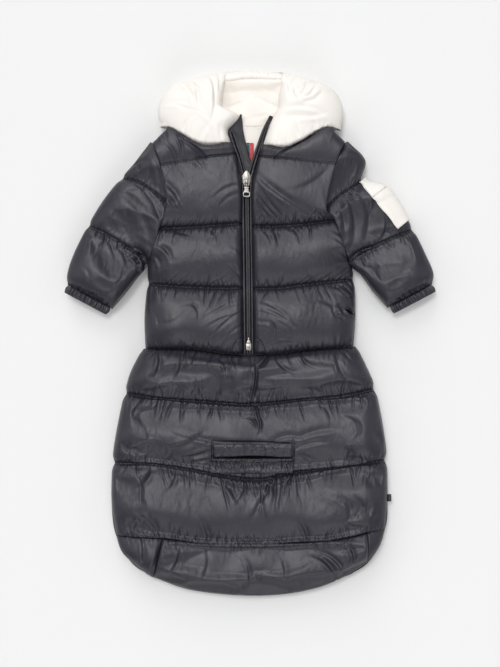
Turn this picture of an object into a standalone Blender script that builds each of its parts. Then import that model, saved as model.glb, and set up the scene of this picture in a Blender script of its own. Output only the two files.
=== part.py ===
"""A baby's down bunting bag lying flat on its back: quilted jacket, hood, sleeves and foot bag.

+Z is up and the floor is z = 0. +Y runs from the bag's foot to the hood, +X to the picture's right.
Lengths in this script are millimetres, and turn into metres where a mesh is made.
"""

import math
from collections import namedtuple

import bmesh
import bpy
from mathutils import Vector
from mathutils.bvhtree import BVHTree

MM = 0.001

# Driving sizes.
seam_height = 20.0  # the height at which the front and back walls meet at the side seams
half_gap = 0.15  # each wall stands this far from the plane of its seam
hollow = 1.6  # how far each wall's plain inside draws back from that plane
edge_inset = 0.62  # how far a piece draws back from a seam line that it shares
body_puff = 31.0  # how far the down lifts the fronts above the side seams
sleeve_puff = 25.0
hood_puff = 33.0
rim_puff = 24.0  # the strip between the hood's sides
bag_puff = 32.0
foot_puff = 28.0
gusset_puff = 25.0
gather_depth = 1.5  # how far the bag's gathers ripple up and down
side_roll = 34.0  # how far in the rounded sides reach
quilt_depth = 0.46  # the share of its puff that a wall keeps at a sewn line
hood_depth = 0.8  # the same on the hood, which is hardly quilted
flat_from = 0.55  # an underside lies flat on the floor from this share of its puff on
zip_top = 31.1  # the height of the zip's face, on which the slider rides
lining_height = 20.4  # the height at which the hood's lining and the neck's facing lie

# The slider's middle, and the pin on which the pull swings.
slider_x, slider_y = -6.2, 217.5
hinge_y, hinge_z = 207.0, zip_top + 5.4

Line = namedtuple("Line", "name sewn points")
Edge = namedtuple("Edge", "kept width")
Fold = namedtuple("Fold", "x1 y1 x2 y2 width depth")

side = Edge(0.035, side_roll)
seam = Edge(0.55, 20.0)
soft_seam = Edge(0.72, 16.0)
open_edge = Edge(1.0, 1.0)
zip_edge = Edge(0.38, 26.0)
waist_edge = Edge(0.35, 24.0)

COLOURS = {
    "shell": ((0.050, 0.052, 0.068), 0.38, 0.0),
    "shell_dark": ((0.030, 0.031, 0.040), 0.45, 0.0),
    "cream_shell": ((0.90, 0.87, 0.81), 0.45, 0.0),
    "cream_lining": ((0.84, 0.78, 0.68), 0.6, 0.0),
    "zip_cloth": ((0.040, 0.041, 0.052), 0.5, 0.0),
    "metal": ((0.62, 0.60, 0.58), 0.25, 1.0),
    "label": ((0.035, 0.11, 0.13), 0.7, 0.0),
    "loop": ((0.62, 0.05, 0.06), 0.6, 0.0),
}

# Lines across each piece, as (x, y) points. The quilting is sewn along those marked sewn.
left_front_lines = [
    Line("hem", True, [(-147, -20), (-83, -21), (-29, -28), (-11.4, -28)]),
    Line("low", False, [(-149, 22), (-83, 20), (-12, 20)]),
    Line("waist", True, [(-145, 70), (-99, 66), (-50, 64), (-12.4, 64)]),
    Line("ribs", False, [(-143, 104), (-71, 109), (-13, 109)]),
    Line("chest", True, [(-127, 147), (-81, 149), (-13.6, 154)]),
    Line("breast", False, [(-117, 184), (-64, 195), (-13.8, 201)]),
    Line("yoke", True, [(-126, 234), (-71, 243), (-21, 250)]),
    Line("neck", True, [(-136, 266), (-112, 286), (-92, 274), (-71, 262), (-26.5, 266)]),
]
right_front_lines = [
    Line("hem", True, [(4.4, -28), (32, -28), (80, -22), (142, -17)]),
    Line("low", False, [(4.2, 20), (69, 21), (146, 25)]),
    Line("waist", True, [(3.6, 63), (41, 64), (78, 69), (144, 76)]),
    Line("ribs", False, [(3, 109), (69, 112), (136, 112)]),
    Line("chest", True, [(2.2, 150), (55, 151), (116, 158)]),
    Line("breast", False, [(2.2, 201), (55, 196), (104.5, 176)]),
    Line("yoke", True, [(10.5, 246), (69, 241), (118, 236)]),
    Line("neck", True, [(16.6, 263), (45, 258), (66, 266), (104, 286), (130, 267)]),
]
left_sleeve_lines = [
    Line("crown", True, [(-141, 268), (-139, 268), (-136, 266)]),
    Line("yoke", False, [(-164, 238), (-144, 240), (-126, 234)]),
    Line("upper", True, [(-182, 218), (-154, 210), (-117, 184)]),
    Line("arm", False, [(-206, 188), (-165, 172), (-124, 156)]),
    Line("elbow", True, [(-228, 152), (-196, 136), (-165, 116), (-143, 101)]),
    Line("fore", False, [(-248, 112), (-204, 90), (-160, 77)]),
    Line("hand", False, [(-257, 84), (-215, 64), (-176, 56)]),
    Line("wrist", True, [(-256, 68), (-236, 57.4), (-215, 46.2), (-194, 35)]),
]
right_sleeve_lines = [
    Line("crown", True, [(130, 267), (133, 269), (136, 269)]),
    Line("yoke", False, [(118, 236), (141, 248), (160, 243)]),
    Line("upper", True, [(104.5, 176), (126, 195), (157, 214)]),
    Line("arm", False, [(116, 158), (152, 178), (195, 198)]),
    Line("elbow", True, [(137, 100.5), (157, 114), (187, 130), (227, 146)]),
    Line("fore", False, [(155, 81), (202, 98), (244, 112)]),
    Line("hand", False, [(171, 59), (212, 68), (255, 86)]),
    Line("wrist", True, [(191, 36.5), (212, 47.5), (232, 58), (253, 69)]),
]
left_hood_lines = [
    Line("neck", True, [(-125, 288), (-112, 286), (-92, 274), (-71, 262), (-52, 262), (-27, 266)]),
    Line("cheek", False, [(-130, 306), (-75, 294), (-31.5, 284)]),
    Line("corner", False, [(-128, 322), (-75, 312), (-16, 303)]),
    Line("rim", False, [(-118, 338), (-75, 328), (-38, 314)]),
    Line("temple", False, [(-104, 350), (-70, 342), (-39, 330)]),
    Line("brow", False, [(-76, 358), (-57, 354), (-37, 345)]),
    Line("crown", True, [(-52, 364), (-45, 365), (-35, 366)]),
]
right_hood_lines = [
    Line("neck", True, [(16.6, 263), (45, 258), (66, 266), (92, 281), (104, 286), (125, 283)]),
    Line("cheek", False, [(23, 283), (70, 294), (128, 302)]),
    Line("corner", False, [(30, 302), (72, 311), (128, 318)]),
    Line("rim", False, [(37, 315), (72, 326), (119, 337)]),
    Line("temple", False, [(38, 330), (70, 338), (101, 349)]),
    Line("brow", False, [(41, 344), (59, 350), (77, 357)]),
    Line("crown", True, [(44, 365), (49, 365), (55, 364)]),
]
hood_centre_lines = [
    Line("rim", True, [(-35, 349), (0, 354), (41, 352)]),
    Line("crown", True, [(-34, 366), (0, 368), (43, 365)]),
]
hood_back_lines = [
    Line("neck", True, [(-125, 290), (-112, 290), (-60, 291.5), (0, 292), (60, 291), (104, 288.5), (125, 287)]),
    Line("cheek", False, [(-130, 306), (0, 309), (128, 302)]),
    Line("corner", False, [(-128, 322), (0, 328), (128, 318)]),
    Line("rim", False, [(-118, 338), (0, 342), (119, 337)]),
    Line("temple", False, [(-104, 350), (0, 352), (101, 349)]),
    Line("brow", False, [(-76, 358), (0, 361), (77, 357)]),
    Line("crown", True, [(-50, 364), (0, 368), (53, 364)]),
]
bag_front_lines = [
    Line("waist", True, [(-152, -20), (-83, -21.3), (-29, -28.3), (32, -28.3), (80, -22.3), (148, -17)]),
    Line("hips", False, [(-169, -54), (-85, -58), (0, -64), (83, -58), (165, -52)]),
    Line("knees", True, [(-177, -83), (-127, -90), (-66, -94), (1, -98), (69, -92), (125, -87), (174, -77)]),
    Line("shins", False, [(-189, -140), (0, -148), (186, -137)]),
    Line("ankles", True, [(-194, -180), (-141, -181), (-91, -188), (1, -202), (57, -193), (125, -185), (190, -176)]),
    Line("feet", False, [(-195, -236), (0, -249), (191, -230)]),
    Line("toes", True, [(-189, -281), (-127, -284), (-55, -291), (41, -291), (119, -286), (162, -276), (188, -271)]),
]
bag_bottom_lines = [
    Line("toes", True, [(-123, -284.5), (-55, -291), (41, -291), (119, -286), (161, -276.5)]),
    Line("fold", False, [(-128, -310), (-55, -327), (0, -330), (81, -322), (162, -298)]),
    Line("foot", True, [(-137, -340), (-83, -358), (0, -366), (76, -359), (122, -344), (162, -320)]),
]
left_gusset_lines = [
    Line("toes", True, [(-189, -281.5), (-156, -283), (-123, -284.5)]),
    Line("fold", False, [(-179, -307), (-154, -309), (-128, -310)]),
    Line("foot", True, [(-150, -332), (-143, -337), (-137, -340)]),
]
right_gusset_lines = [
    Line("toes", True, [(161, -276.5), (175, -273), (188, -271.5)]),
    Line("fold", False, [(162, -298), (171, -296), (181, -295)]),
    Line("foot", True, [(162, -320), (164, -319), (167, -317)]),
]
bag_back_lines = [
    Line("waist", True, [(-147, -29), (-71, -29), (0, -29), (76, -29), (142, -29)]),
    Line("hips", False, [(-166, -53), (0, -60), (162, -52)]),
    Line("knees", False, [(-177, -83), (0, -98), (174, -77)]),
    Line("shins", False, [(-189, -140), (0, -148), (186, -137)]),
    Line("ankles", False, [(-194, -180), (0, -202), (190, -176)]),
    Line("feet", False, [(-195, -236), (0, -249), (191, -230)]),
    Line("toes", False, [(-189, -281), (0, -291), (188, -271)]),
    Line("heel", False, [(-167, -320), (0, -330), (166, -317)]),
    Line("foot", True, [(-137, -340), (-83, -358), (0, -366), (76, -359), (140, -336)]),
]
# The largest folds across the bag, as troughs between two places.
bag_folds = [
    Fold(6, -34, 1, -88, 5, 5),
    Fold(-36, -33, -44, -52, 5, 3),
    Fold(46, -33, 66, -50, 5, 3),
    Fold(-118, -28, -128, -44, 6, 3),
    Fold(8, -104, 12, -132, 5, 3),
    Fold(-24, -206, -48, -228, 6, 3),
    Fold(8, -206, 22, -222, 6, 3),
    Fold(-130, -188, -150, -206, 6, 3),
]
foot_folds = [
    Fold(-6, -322, -2, -352, 6, 4),
    Fold(88, -300, 110, -330, 7, 4),
    Fold(136, -292, 142, -316, 6, 3),
]
jacket_back_lines = [
    Line("hem", True, [(-147, -28.4), (0, -28.4), (142, -28.4)]),
    Line("low", False, [(-149, 22), (0, 20), (146, 25)]),
    Line("waist", True, [(-145, 70), (0, 64), (144, 76)]),
    Line("ribs", False, [(-143, 104), (0, 109), (136, 112)]),
    Line("chest", True, [(-127, 147), (0, 152), (116, 158)]),
    Line("breast", False, [(-116, 184), (0, 196), (104, 178)]),
    Line("yoke", True, [(-126, 234), (0, 246), (118, 236)]),
    Line("neck", True, [(-136, 266), (-112, 286), (-60, 289), (0, 289.5), (60, 288.5), (104, 286), (130, 267)]),
]

# Seams that two pieces share, which both follow.
shared_seams = [
    [(-136, 266), (-126, 234), (-117, 184), (-127, 147), (-143, 101)],
    [(130, 267), (118, 236), (104.5, 176), (116, 158), (137, 101)],
    [(-127, 289), (-112, 286), (-92, 274.5), (-71, 263.5), (-50, 262), (-26.5, 266)],
    [(16.6, 263), (45, 258.5), (66, 266), (85, 277), (104, 286), (127, 285)],
]

# Where a wall's rows and columns lie: close together where the cloth turns.
band_steps = (0.0, 0.1, 0.3, 0.5, 0.7, 0.9)
hood_steps = (0.0, 0.08, 0.167, 0.25, 0.333, 0.42, 0.5, 0.6, 0.72, 0.84, 0.94)
side_to_zip = (0, 0.03, 0.09, 0.18, 0.32, 0.5, 0.68, 0.84, 0.94, 1)
zip_to_side = tuple(1 - u for u in reversed(side_to_zip))
side_to_side = (0, 0.02, 0.06, 0.13, 0.24, 0.37, 0.5, 0.63, 0.76, 0.87, 0.94, 0.98, 1)
gathered = (0, 0.02, 0.05, *(0.085 + 0.83 * k / 30 for k in range(31)), 0.95, 0.98, 1)
even_steps = tuple(k / 16 for k in range(16))


def clear_scene():
    for item in list(bpy.data.objects):
        bpy.data.objects.remove(item, do_unlink=True)


def material(name):
    found = bpy.data.materials.get(name)
    if found:
        return found
    colour, roughness, metallic = COLOURS[name]
    made = bpy.data.materials.new(name)
    made.use_nodes = True
    shader = made.node_tree.nodes["Principled BSDF"]
    shader.inputs["Base Color"].default_value = (*colour, 1)
    shader.inputs["Roughness"].default_value = roughness
    shader.inputs["Metallic"].default_value = metallic
    return made


def finish(name, mesh_builder, finish_name):
    """Turns a bmesh in millimetres into an object in metres, facing outwards."""
    bmesh.ops.recalc_face_normals(mesh_builder, faces=mesh_builder.faces)
    bmesh.ops.triangulate(mesh_builder, faces=mesh_builder.faces, ngon_method="BEAUTY")
    bmesh.ops.scale(mesh_builder, vec=(MM, MM, MM), verts=mesh_builder.verts)
    mesh = bpy.data.meshes.new(name)
    mesh_builder.to_mesh(mesh)
    mesh_builder.free()
    mesh.shade_smooth()
    mesh.set_sharp_from_angle(angle=math.radians(40))
    made = bpy.data.objects.new(name, mesh)
    bpy.context.scene.collection.objects.link(made)
    made.data.materials.append(material(finish_name))
    return made


def blend(a, b, c, d, t):
    """A point at t between b and c on the Catmull-Rom curve a, b, c, d."""
    return 0.5 * (2 * b + (c - a) * t + (2 * a - 5 * b + 4 * c - d) * t * t + (3 * b - a - 3 * c + d) * t**3)


def through(points, place):
    """A point at place (0 is the first point, 1 the second and so on) on a smooth curve through the points."""
    k = min(int(place), len(points) - 2)
    b, c = points[k], points[k + 1]
    a = points[k - 1] if k else 2 * b - c
    d = points[k + 2] if k + 2 < len(points) else 2 * c - b
    return blend(a, b, c, d, place - k)


def along(points, share):
    """A point at a share of the length of a smooth curve through the points."""
    vectors = [Vector(p) for p in points]
    steps = [(b - a).length for a, b in zip(vectors, vectors[1:])]
    left = share * sum(steps)
    for k, step in enumerate(steps):
        if left <= step or k == len(steps) - 1:
            return through(vectors, k + min(left / step, 1.0))
        left -= step


seam_points = [along(seam_line, k / 120) for seam_line in shared_seams for k in range(121)]


def spot(lines, u, place):
    return through([along(line.points, u) for line in lines], place)


def rows_of(lines, steps):
    """Each row's place along the lines, and its share of the full puff."""
    sewn = [k for k, line in enumerate(lines) if line.sewn]
    rows = []
    for first, last in zip(sewn, sewn[1:]):
        for t in steps:
            rows.append((first + t * (last - first), math.sin(math.pi * t) ** 0.6))
    rows.append((float(sewn[-1]), 0.0))
    return rows


def turn(edge, distance):
    """The share of its puff that a wall has at a distance from an edge."""
    reach = min(distance / edge.width, 1.0)
    return edge.kept + (1 - edge.kept) * math.sqrt(1 - (1 - reach) ** 2)


def running(points):
    total = [0.0]
    for a, b in zip(points, points[1:]):
        total.append(total[-1] + (b - a).length)
    return total


def on_seam(point):
    """The nearest place on a shared seam, or the point itself where none is near."""
    nearest = min(seam_points, key=lambda place: (place - point).length)
    return nearest if (nearest - point).length < 5 else point


def plan_of(lines, columns, rows):
    """The wall seen from above: rows of points, drawn back a little along all four edges."""
    grid = [[spot(lines, u, place) for u in columns] for place, _ in rows]
    height, width = len(grid), len(grid[0])
    for r, c in border(height, width):
        grid[r][c] = on_seam(grid[r][c])
    drawn = [row[:] for row in grid]
    for r in range(height):
        for c in range(width):
            move = Vector((0, 0))
            if r in (0, height - 1):
                inner = grid[1 if r == 0 else height - 2][c] - grid[r][c]
                move += inner.normalized() * edge_inset
            if c in (0, width - 1):
                inner = grid[r][1 if c == 0 else width - 2] - grid[r][c]
                move += inner.normalized() * min(edge_inset, inner.length / 3)
            drawn[r][c] = grid[r][c] + move
    return drawn


def fold_depth(point, folds):
    """How far the large folds press the cloth in at a place."""
    total = 0.0
    for fold in folds:
        start, end = Vector((fold.x1, fold.y1)), Vector((fold.x2, fold.y2))
        run = end - start
        share = min(max((point - start).dot(run) / run.length_squared, 0.0), 1.0)
        away = (point - start - run * share).length
        total += fold.depth * math.exp(-((away / fold.width) ** 2))
    return total


def heights(plan, rows, puff, edges, depth, gathers, folds):
    """How far the wall's outside stands off its seam plane at each point of the plan.

    Beside a sewn line the cloth ripples by the depth of its gathers, up and down from one column to the next.
    """
    lengths = [running(row) for row in plan]
    falls = [running(column) for column in zip(*plan)]
    first, last, start, end = edges
    result = []
    for r, (_, swell) in enumerate(rows):
        line = []
        for c in range(len(plan[0])):
            share = depth + (1 - depth) * swell
            share *= turn(first, lengths[r][c]) * turn(last, lengths[r][-1] - lengths[r][c])
            share *= turn(start, falls[c][r]) * turn(end, falls[c][-1] - falls[c][r])
            ripple = gathers * (-1) ** c * 4 * swell * (1 - swell) if 2 < c < len(plan[0]) - 3 else 0.0
            line.append(max(puff * share + ripple - fold_depth(plan[r][c], folds), 0.8))
        result.append(line)
    return result


def border(height, width):
    loop = [(0, c) for c in range(width)]
    loop += [(r, width - 1) for r in range(1, height)]
    loop += [(height - 1, c) for c in range(width - 2, -1, -1)]
    loop += [(r, 0) for r in range(height - 2, 0, -1)]
    return loop


def next_in(r, c, height, width):
    """The grid place one step in from a place on the border."""
    return min(max(r, 1), height - 2), min(max(c, 1), width - 2)


def wall(name, lines, columns, puff, edges, finish_name, facing=1, depth=quilt_depth, steps=band_steps,
         gathers=0.0, folds=()):
    """A padded wall: its outside puffs between the sewn lines, its inside is plain.

    facing is 1 for a wall on top and -1 for one underneath, whose outside rests flat on the floor.
    """
    rows = rows_of(lines, steps)
    plan = plan_of(lines, columns, rows)
    tall = heights(plan, rows, puff, edges, depth, gathers, folds)
    if facing < 0:
        reach = seam_height - half_gap
        tall = [[reach * min(1.0, t / (flat_from * puff)) for t in line] for line in tall]
    height, width = len(plan), len(columns)
    shape = bmesh.new()
    outside = [
        [shape.verts.new((*plan[r][c], seam_height + facing * (half_gap + tall[r][c]))) for c in range(width)]
        for r in range(height)
    ]
    for r in range(height - 1):
        for c in range(width - 1):
            shape.faces.new((outside[r][c], outside[r][c + 1], outside[r + 1][c + 1], outside[r + 1][c]))
    loop = border(height, width)
    rim = {}
    inside = {}
    for r, c in loop:
        rim[r, c] = shape.verts.new((*plan[r][c], seam_height + facing * half_gap))
        near = next_in(r, c, height, width)
        if near not in inside:
            inside[near] = shape.verts.new((*plan[near[0]][near[1]], seam_height + facing * (half_gap + hollow)))
    ring = []
    for k, here in enumerate(loop):
        there = loop[(k + 1) % len(loop)]
        shape.faces.new((outside[here[0]][here[1]], outside[there[0]][there[1]], rim[there], rim[here]))
        near_here = inside[next_in(*here, height, width)]
        near_there = inside[next_in(*there, height, width)]
        if near_here is near_there:
            shape.faces.new((rim[here], rim[there], near_here))
        else:
            shape.faces.new((rim[here], rim[there], near_there, near_here))
            ring.append(near_here)
    shape.faces.new(ring)
    return finish(name, shape, finish_name)


def sheet(name, plan, under, thick, finish_name):
    """A thin closed sheet over rows of plan points.

    under and thick are its underside's height and its thickness, as one number or as rows of them.
    """
    shape = bmesh.new()
    height, width = len(plan), len(plan[0])
    if isinstance(under, float):
        under = [[under] * width] * height
    if isinstance(thick, float):
        thick = [[thick] * width] * height
    layers = []
    for side_up in (0, 1):
        layers.append([
            [shape.verts.new((*plan[r][c], under[r][c] + side_up * thick[r][c])) for c in range(width)]
            for r in range(height)
        ])
    for layer in layers:
        for r in range(height - 1):
            for c in range(width - 1):
                shape.faces.new((layer[r][c], layer[r][c + 1], layer[r + 1][c + 1], layer[r + 1][c]))
    loop = border(height, width)
    for (r, c), (s, d) in zip(loop, loop[1:] + loop[:1]):
        shape.faces.new((layers[0][r][c], layers[0][s][d], layers[1][s][d], layers[1][r][c]))
    return finish(name, shape, finish_name)


def tree_of(items):
    """One search tree over several objects, in millimetres."""
    points, faces = [], []
    for item in items:
        start = len(points)
        points += [v.co / MM for v in item.data.vertices]
        faces += [[start + k for k in face.vertices] for face in item.data.polygons]
    return BVHTree.FromPolygons(points, faces)


def top_at(tree, x, y, reach):
    """The highest point of the cloth around a place."""
    found = [seam_height]
    for across, up in ((0, 0), (reach, 0), (-reach, 0), (0, reach), (0, -reach)):
        hit = tree.ray_cast(Vector((x + across, y + up, 200)), Vector((0, 0, -1)))[0]
        if hit:
            found.append(hit.z)
    return max(found)


def between(first, last, count):
    return [first + (last - first) * k / (count - 1) for k in range(count)]


def laid_on(name, tree, plan, thick, finish_name, reach=3.0, rise=0.35):
    """A sheet that lies on the cloth below it."""
    under = [[top_at(tree, p[0], p[1], reach) + rise for p in row] for row in plan]
    return sheet(name, plan, under, thick, finish_name)


def jacket():
    made = {
        "front_left": wall("jacket_front_left", left_front_lines, side_to_zip, body_puff,
                           (side, zip_edge, open_edge, open_edge), "shell"),
        "front_right": wall("jacket_front_right", right_front_lines, zip_to_side, body_puff,
                            (zip_edge, side, open_edge, open_edge), "shell"),
    }
    wall("jacket_back", jacket_back_lines, side_to_side, body_puff, (side, side, open_edge, open_edge), "shell",
         facing=-1)
    left_edges = (side, seam, seam, soft_seam)
    right_edges = (seam, side, seam, soft_seam)
    for suffix, facing in (("front", 1), ("back", -1)):
        wall("sleeve_left_" + suffix, left_sleeve_lines, side_to_zip, sleeve_puff, left_edges, "shell", facing)
        made["sleeve_" + suffix] = wall("sleeve_right_" + suffix, right_sleeve_lines, zip_to_side, sleeve_puff,
                                        right_edges, "shell", facing)
    return made


def hood():
    wall("hood_left", left_hood_lines, side_to_zip, hood_puff, (side, seam, soft_seam, side), "cream_shell",
         depth=hood_depth, steps=hood_steps)
    wall("hood_right", right_hood_lines, zip_to_side, hood_puff, (seam, side, soft_seam, side), "cream_shell",
         depth=hood_depth, steps=hood_steps)
    wall("hood_centre", hood_centre_lines, side_to_side, rim_puff, (soft_seam, soft_seam, soft_seam, side),
         "cream_shell", depth=hood_depth)
    wall("hood_back", hood_back_lines, side_to_side, hood_puff, (side, side, open_edge, side), "cream_shell",
         facing=-1, steps=hood_steps)
    rows = [
        (292.0, -17.0, 23.5),
        (302.0, -13.6, 27.5),
        (315.0, -36.5, 35.5),
        (330.0, -37.0, 36.5),
        (346.0, -35.0, 39.0),
    ]
    # Two soft creases cross the lining.
    columns, creased, crease_rise = 7, (2, 4), 1.6
    plan = [[(x, y) for x in between(left, right, columns)] for y, left, right in rows]
    arch = [math.sin(math.pi * c / (columns - 1)) for c in range(columns)]
    under = [[lining_height + crease_rise * (r in creased) * a for a in arch] for r in range(len(rows))]
    sheet("hood_lining", plan, under, 1.5, "cream_lining")


def foot_bag():
    front = wall("bag_front", bag_front_lines, gathered, bag_puff, (side, side, waist_edge, open_edge), "shell",
                 gathers=gather_depth, folds=bag_folds)
    wall("bag_bottom", bag_bottom_lines, gathered, foot_puff, (soft_seam, soft_seam, open_edge, side), "shell",
         gathers=gather_depth, folds=foot_folds)
    wall("bag_gusset_left", left_gusset_lines, (0, 0.08, 0.2, 0.4, 0.7, 1), gusset_puff,
         (side, soft_seam, open_edge, soft_seam), "shell")
    wall("bag_gusset_right", right_gusset_lines, (0, 0.3, 0.6, 0.85, 1), gusset_puff,
         (soft_seam, side, open_edge, soft_seam), "shell")
    wall("bag_back", bag_back_lines, side_to_side, bag_puff, (side, side, open_edge, side), "shell", facing=-1,
         steps=even_steps)
    return tree_of([front])


def cuff(name, outer, inner, drop):
    """A gathered elastic band: a flattened ring whose wall waves along its length."""
    gathers, steps, bands = 16, 48, 3
    half_tall, half_hollow, height = 6.5, 1.7, 18.0
    wall_thick, wave_depth, bulge, squareness = 4.0, 0.9, 0.6, 0.8
    start, end, fall = Vector(outer), Vector(inner), Vector(drop)
    middle, across = (start + end) / 2, (end - start) / 2
    half_wide = across.length
    across.normalize()
    shape = bmesh.new()

    def ring(band, wide, tall, wave_height):
        """One turn of the band: an oval with squared ends."""
        made = []
        for k in range(steps):
            angle = 2 * math.pi * k / steps
            wave = wave_height * math.cos(gathers * angle)
            reach = math.copysign(abs(math.cos(angle)) ** squareness, math.cos(angle)) * (wide + wave)
            rise = math.copysign(abs(math.sin(angle)) ** squareness, math.sin(angle)) * (tall + wave)
            place = middle + across * reach + fall * (band / (bands - 1))
            made.append(shape.verts.new((*place, height + rise)))
        return made

    def skin(first, last):
        for k in range(steps):
            n = (k + 1) % steps
            shape.faces.new((first[k], first[n], last[n], last[k]))

    outside, inside = [], []
    for band in range(bands):
        swell = bulge if 0 < band < bands - 1 else 0.0
        outside.append(ring(band, half_wide + swell, half_tall + swell, wave_depth))
        inside.append(ring(band, half_wide - wall_thick, half_hollow, 0.0))
    for band in range(bands - 1):
        skin(outside[band], outside[band + 1])
        skin(inside[band], inside[band + 1])
    skin(outside[0], inside[0])
    skin(outside[-1], inside[-1])
    return finish(name, shape, "shell")


Rung = namedtuple("Rung", "y left_outer left_inner right_inner right_outer base")

# The zip from its foot to the tips of its open ends.
rungs = [
    Rung(-27, -10.6, -3.4, -2.9, 3.7, 28),
    Rung(20, -11.2, -3.6, -3.1, 3.4, 28),
    Rung(62, -11.7, -3.8, -3.3, 2.9, 28),
    Rung(108, -12.2, -4.5, -4.0, 2.3, 28),
    Rung(153, -12.7, -5.2, -4.7, 1.5, 28),
    Rung(201, -13.1, -6.0, -5.5, 1.4, 28),
    Rung(218, -13.4, -6.4, -5.8, 2.6, 28),
    Rung(227, -14.2, -7.8, -3.4, 4.4, 28),
    Rung(244, -18.4, -11.6, 2.2, 9.2, 28.5),
    Rung(265, -26.0, -18.0, 9.9, 15.6, 29.5),
    Rung(281, -30.2, -23.6, 15.8, 20.6, 31),
]
# The right tape runs on to a point: y, inner x, outer x and base.
right_tip = [(291.0, 20.4, 25.2, 32.0), (301.5, 27.0, 29.6, 33.0)]
# The guard behind the zip, from its foot to its point: y, left x, right x and base.
guard_rows = [
    (-26.5, -10.4, 3.4, 23.8),
    (64, -11.4, 2.6, 23.8),
    (154, -12.5, 1.2, 23.8),
    (226, -13.2, 2.0, 23.8),
    (244, -18.2, -1.2, 24.0),
    (266, -25.8, -7.0, 25.0),
    (281, -30.0, -10.4, 27.0),
    (291, -23.0, -11.8, 28.5),
    (302, -15.6, -13.2, 30.0),
]


def zip_pieces():
    # Each tape has a raised cord on both sides of a shallow channel.
    ridges = (0.9, 2.6, 1.6, 2.8, 1.0)
    shares = (0.0, 0.22, 0.5, 0.78, 1.0)
    left = [(r.y, r.left_outer, r.left_inner, r.base) for r in rungs]
    right = [(r.y, r.right_inner, r.right_outer, r.base) for r in rungs] + right_tip
    for name, rows in (("zip_tape_left", left), ("zip_tape_right", right)):
        plan = [[(first + (last - first) * s, y) for s in shares] for y, first, last, _ in rows]
        under = [[base] * len(shares) for _, _, _, base in rows]
        sheet(name, plan, under, [ridges] * len(rows), "zip_cloth")
    plan = [[(x, y) for x in between(left_x, right_x, 3)] for y, left_x, right_x, _ in guard_rows]
    sheet("zip_guard", plan, [[base] * 3 for _, _, _, base in guard_rows], 1.6, "shell_dark")


def box(name, low, high, finish_name, bevel=0.0):
    shape = bmesh.new()
    bmesh.ops.create_cube(shape, size=1)
    size = Vector(high) - Vector(low)
    bmesh.ops.scale(shape, vec=size, verts=shape.verts)
    bmesh.ops.translate(shape, vec=(Vector(high) + Vector(low)) / 2, verts=shape.verts)
    if bevel:
        bmesh.ops.bevel(shape, geom=shape.edges[:], offset=bevel, segments=1, affect="EDGES")
    return finish(name, shape, finish_name)


def prism(name, outline, low, high, finish_name, axis="z"):
    """An outline drawn out between two planes."""
    shape = bmesh.new()
    rings = []
    for level in (low, high):
        if axis == "z":
            rings.append([shape.verts.new((x, y, level)) for x, y in outline])
        else:
            rings.append([shape.verts.new((level, y, z)) for y, z in outline])
    shape.faces.new(rings[0])
    shape.faces.new(rings[1])
    for k in range(len(outline)):
        n = (k + 1) % len(outline)
        shape.faces.new((rings[0][k], rings[0][n], rings[1][n], rings[1][k]))
    return finish(name, shape, finish_name)


def combine(item, other, operation="UNION"):
    modifier = item.modifiers.new(operation.lower(), "BOOLEAN")
    modifier.operation = operation
    modifier.object = other
    other.hide_render = True
    other.display_type = "WIRE"


def arc(centre, radius, first, last, count):
    return [
        (centre[0] + radius * math.cos(math.radians(a)), centre[1] + radius * math.sin(math.radians(a)))
        for a in between(first, last, count)
    ]


def slider():
    low, high = zip_top + 0.4, zip_top + 3.0
    crown = [(-6, -9.5), (6, -9.5), (6, 3), (3.2, 8), (0, 10), (-3.2, 8), (-6, 3)]
    body = prism("slider", [(slider_x + x, slider_y + y) for x, y in crown], low, high, "metal")
    # The post between the open tapes, and the plate below them that it holds.
    combine(body, box("slider_post", (slider_x - 1.1, 224.4, 25.8), (slider_x + 1.5, 226.8, low + 1), "metal"))
    combine(body, box("slider_sole", (slider_x - 5.2, 211, 25.6), (slider_x + 5.2, 227, 27.6), "metal"))
    # The ears end close round the pin, so that the pull's band passes over them.
    ear_thick, ear_foot, ear_head, ear_top = 1.2, 1.4, 2.0, 1.0
    for k, x in enumerate((-3.9, 2.7)):
        combine(body, box(f"slider_ear_{k}", (slider_x + x, hinge_y - ear_foot, high - 1),
                          (slider_x + x + ear_thick, hinge_y + ear_head, hinge_z + ear_top), "metal"))
    pin = prism("slider_pin", arc((hinge_y, hinge_z), 0.8, 0, 330, 12), slider_x - 3.2, slider_x + 3.2, "metal", "x")
    combine(body, pin)
    return body


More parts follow.
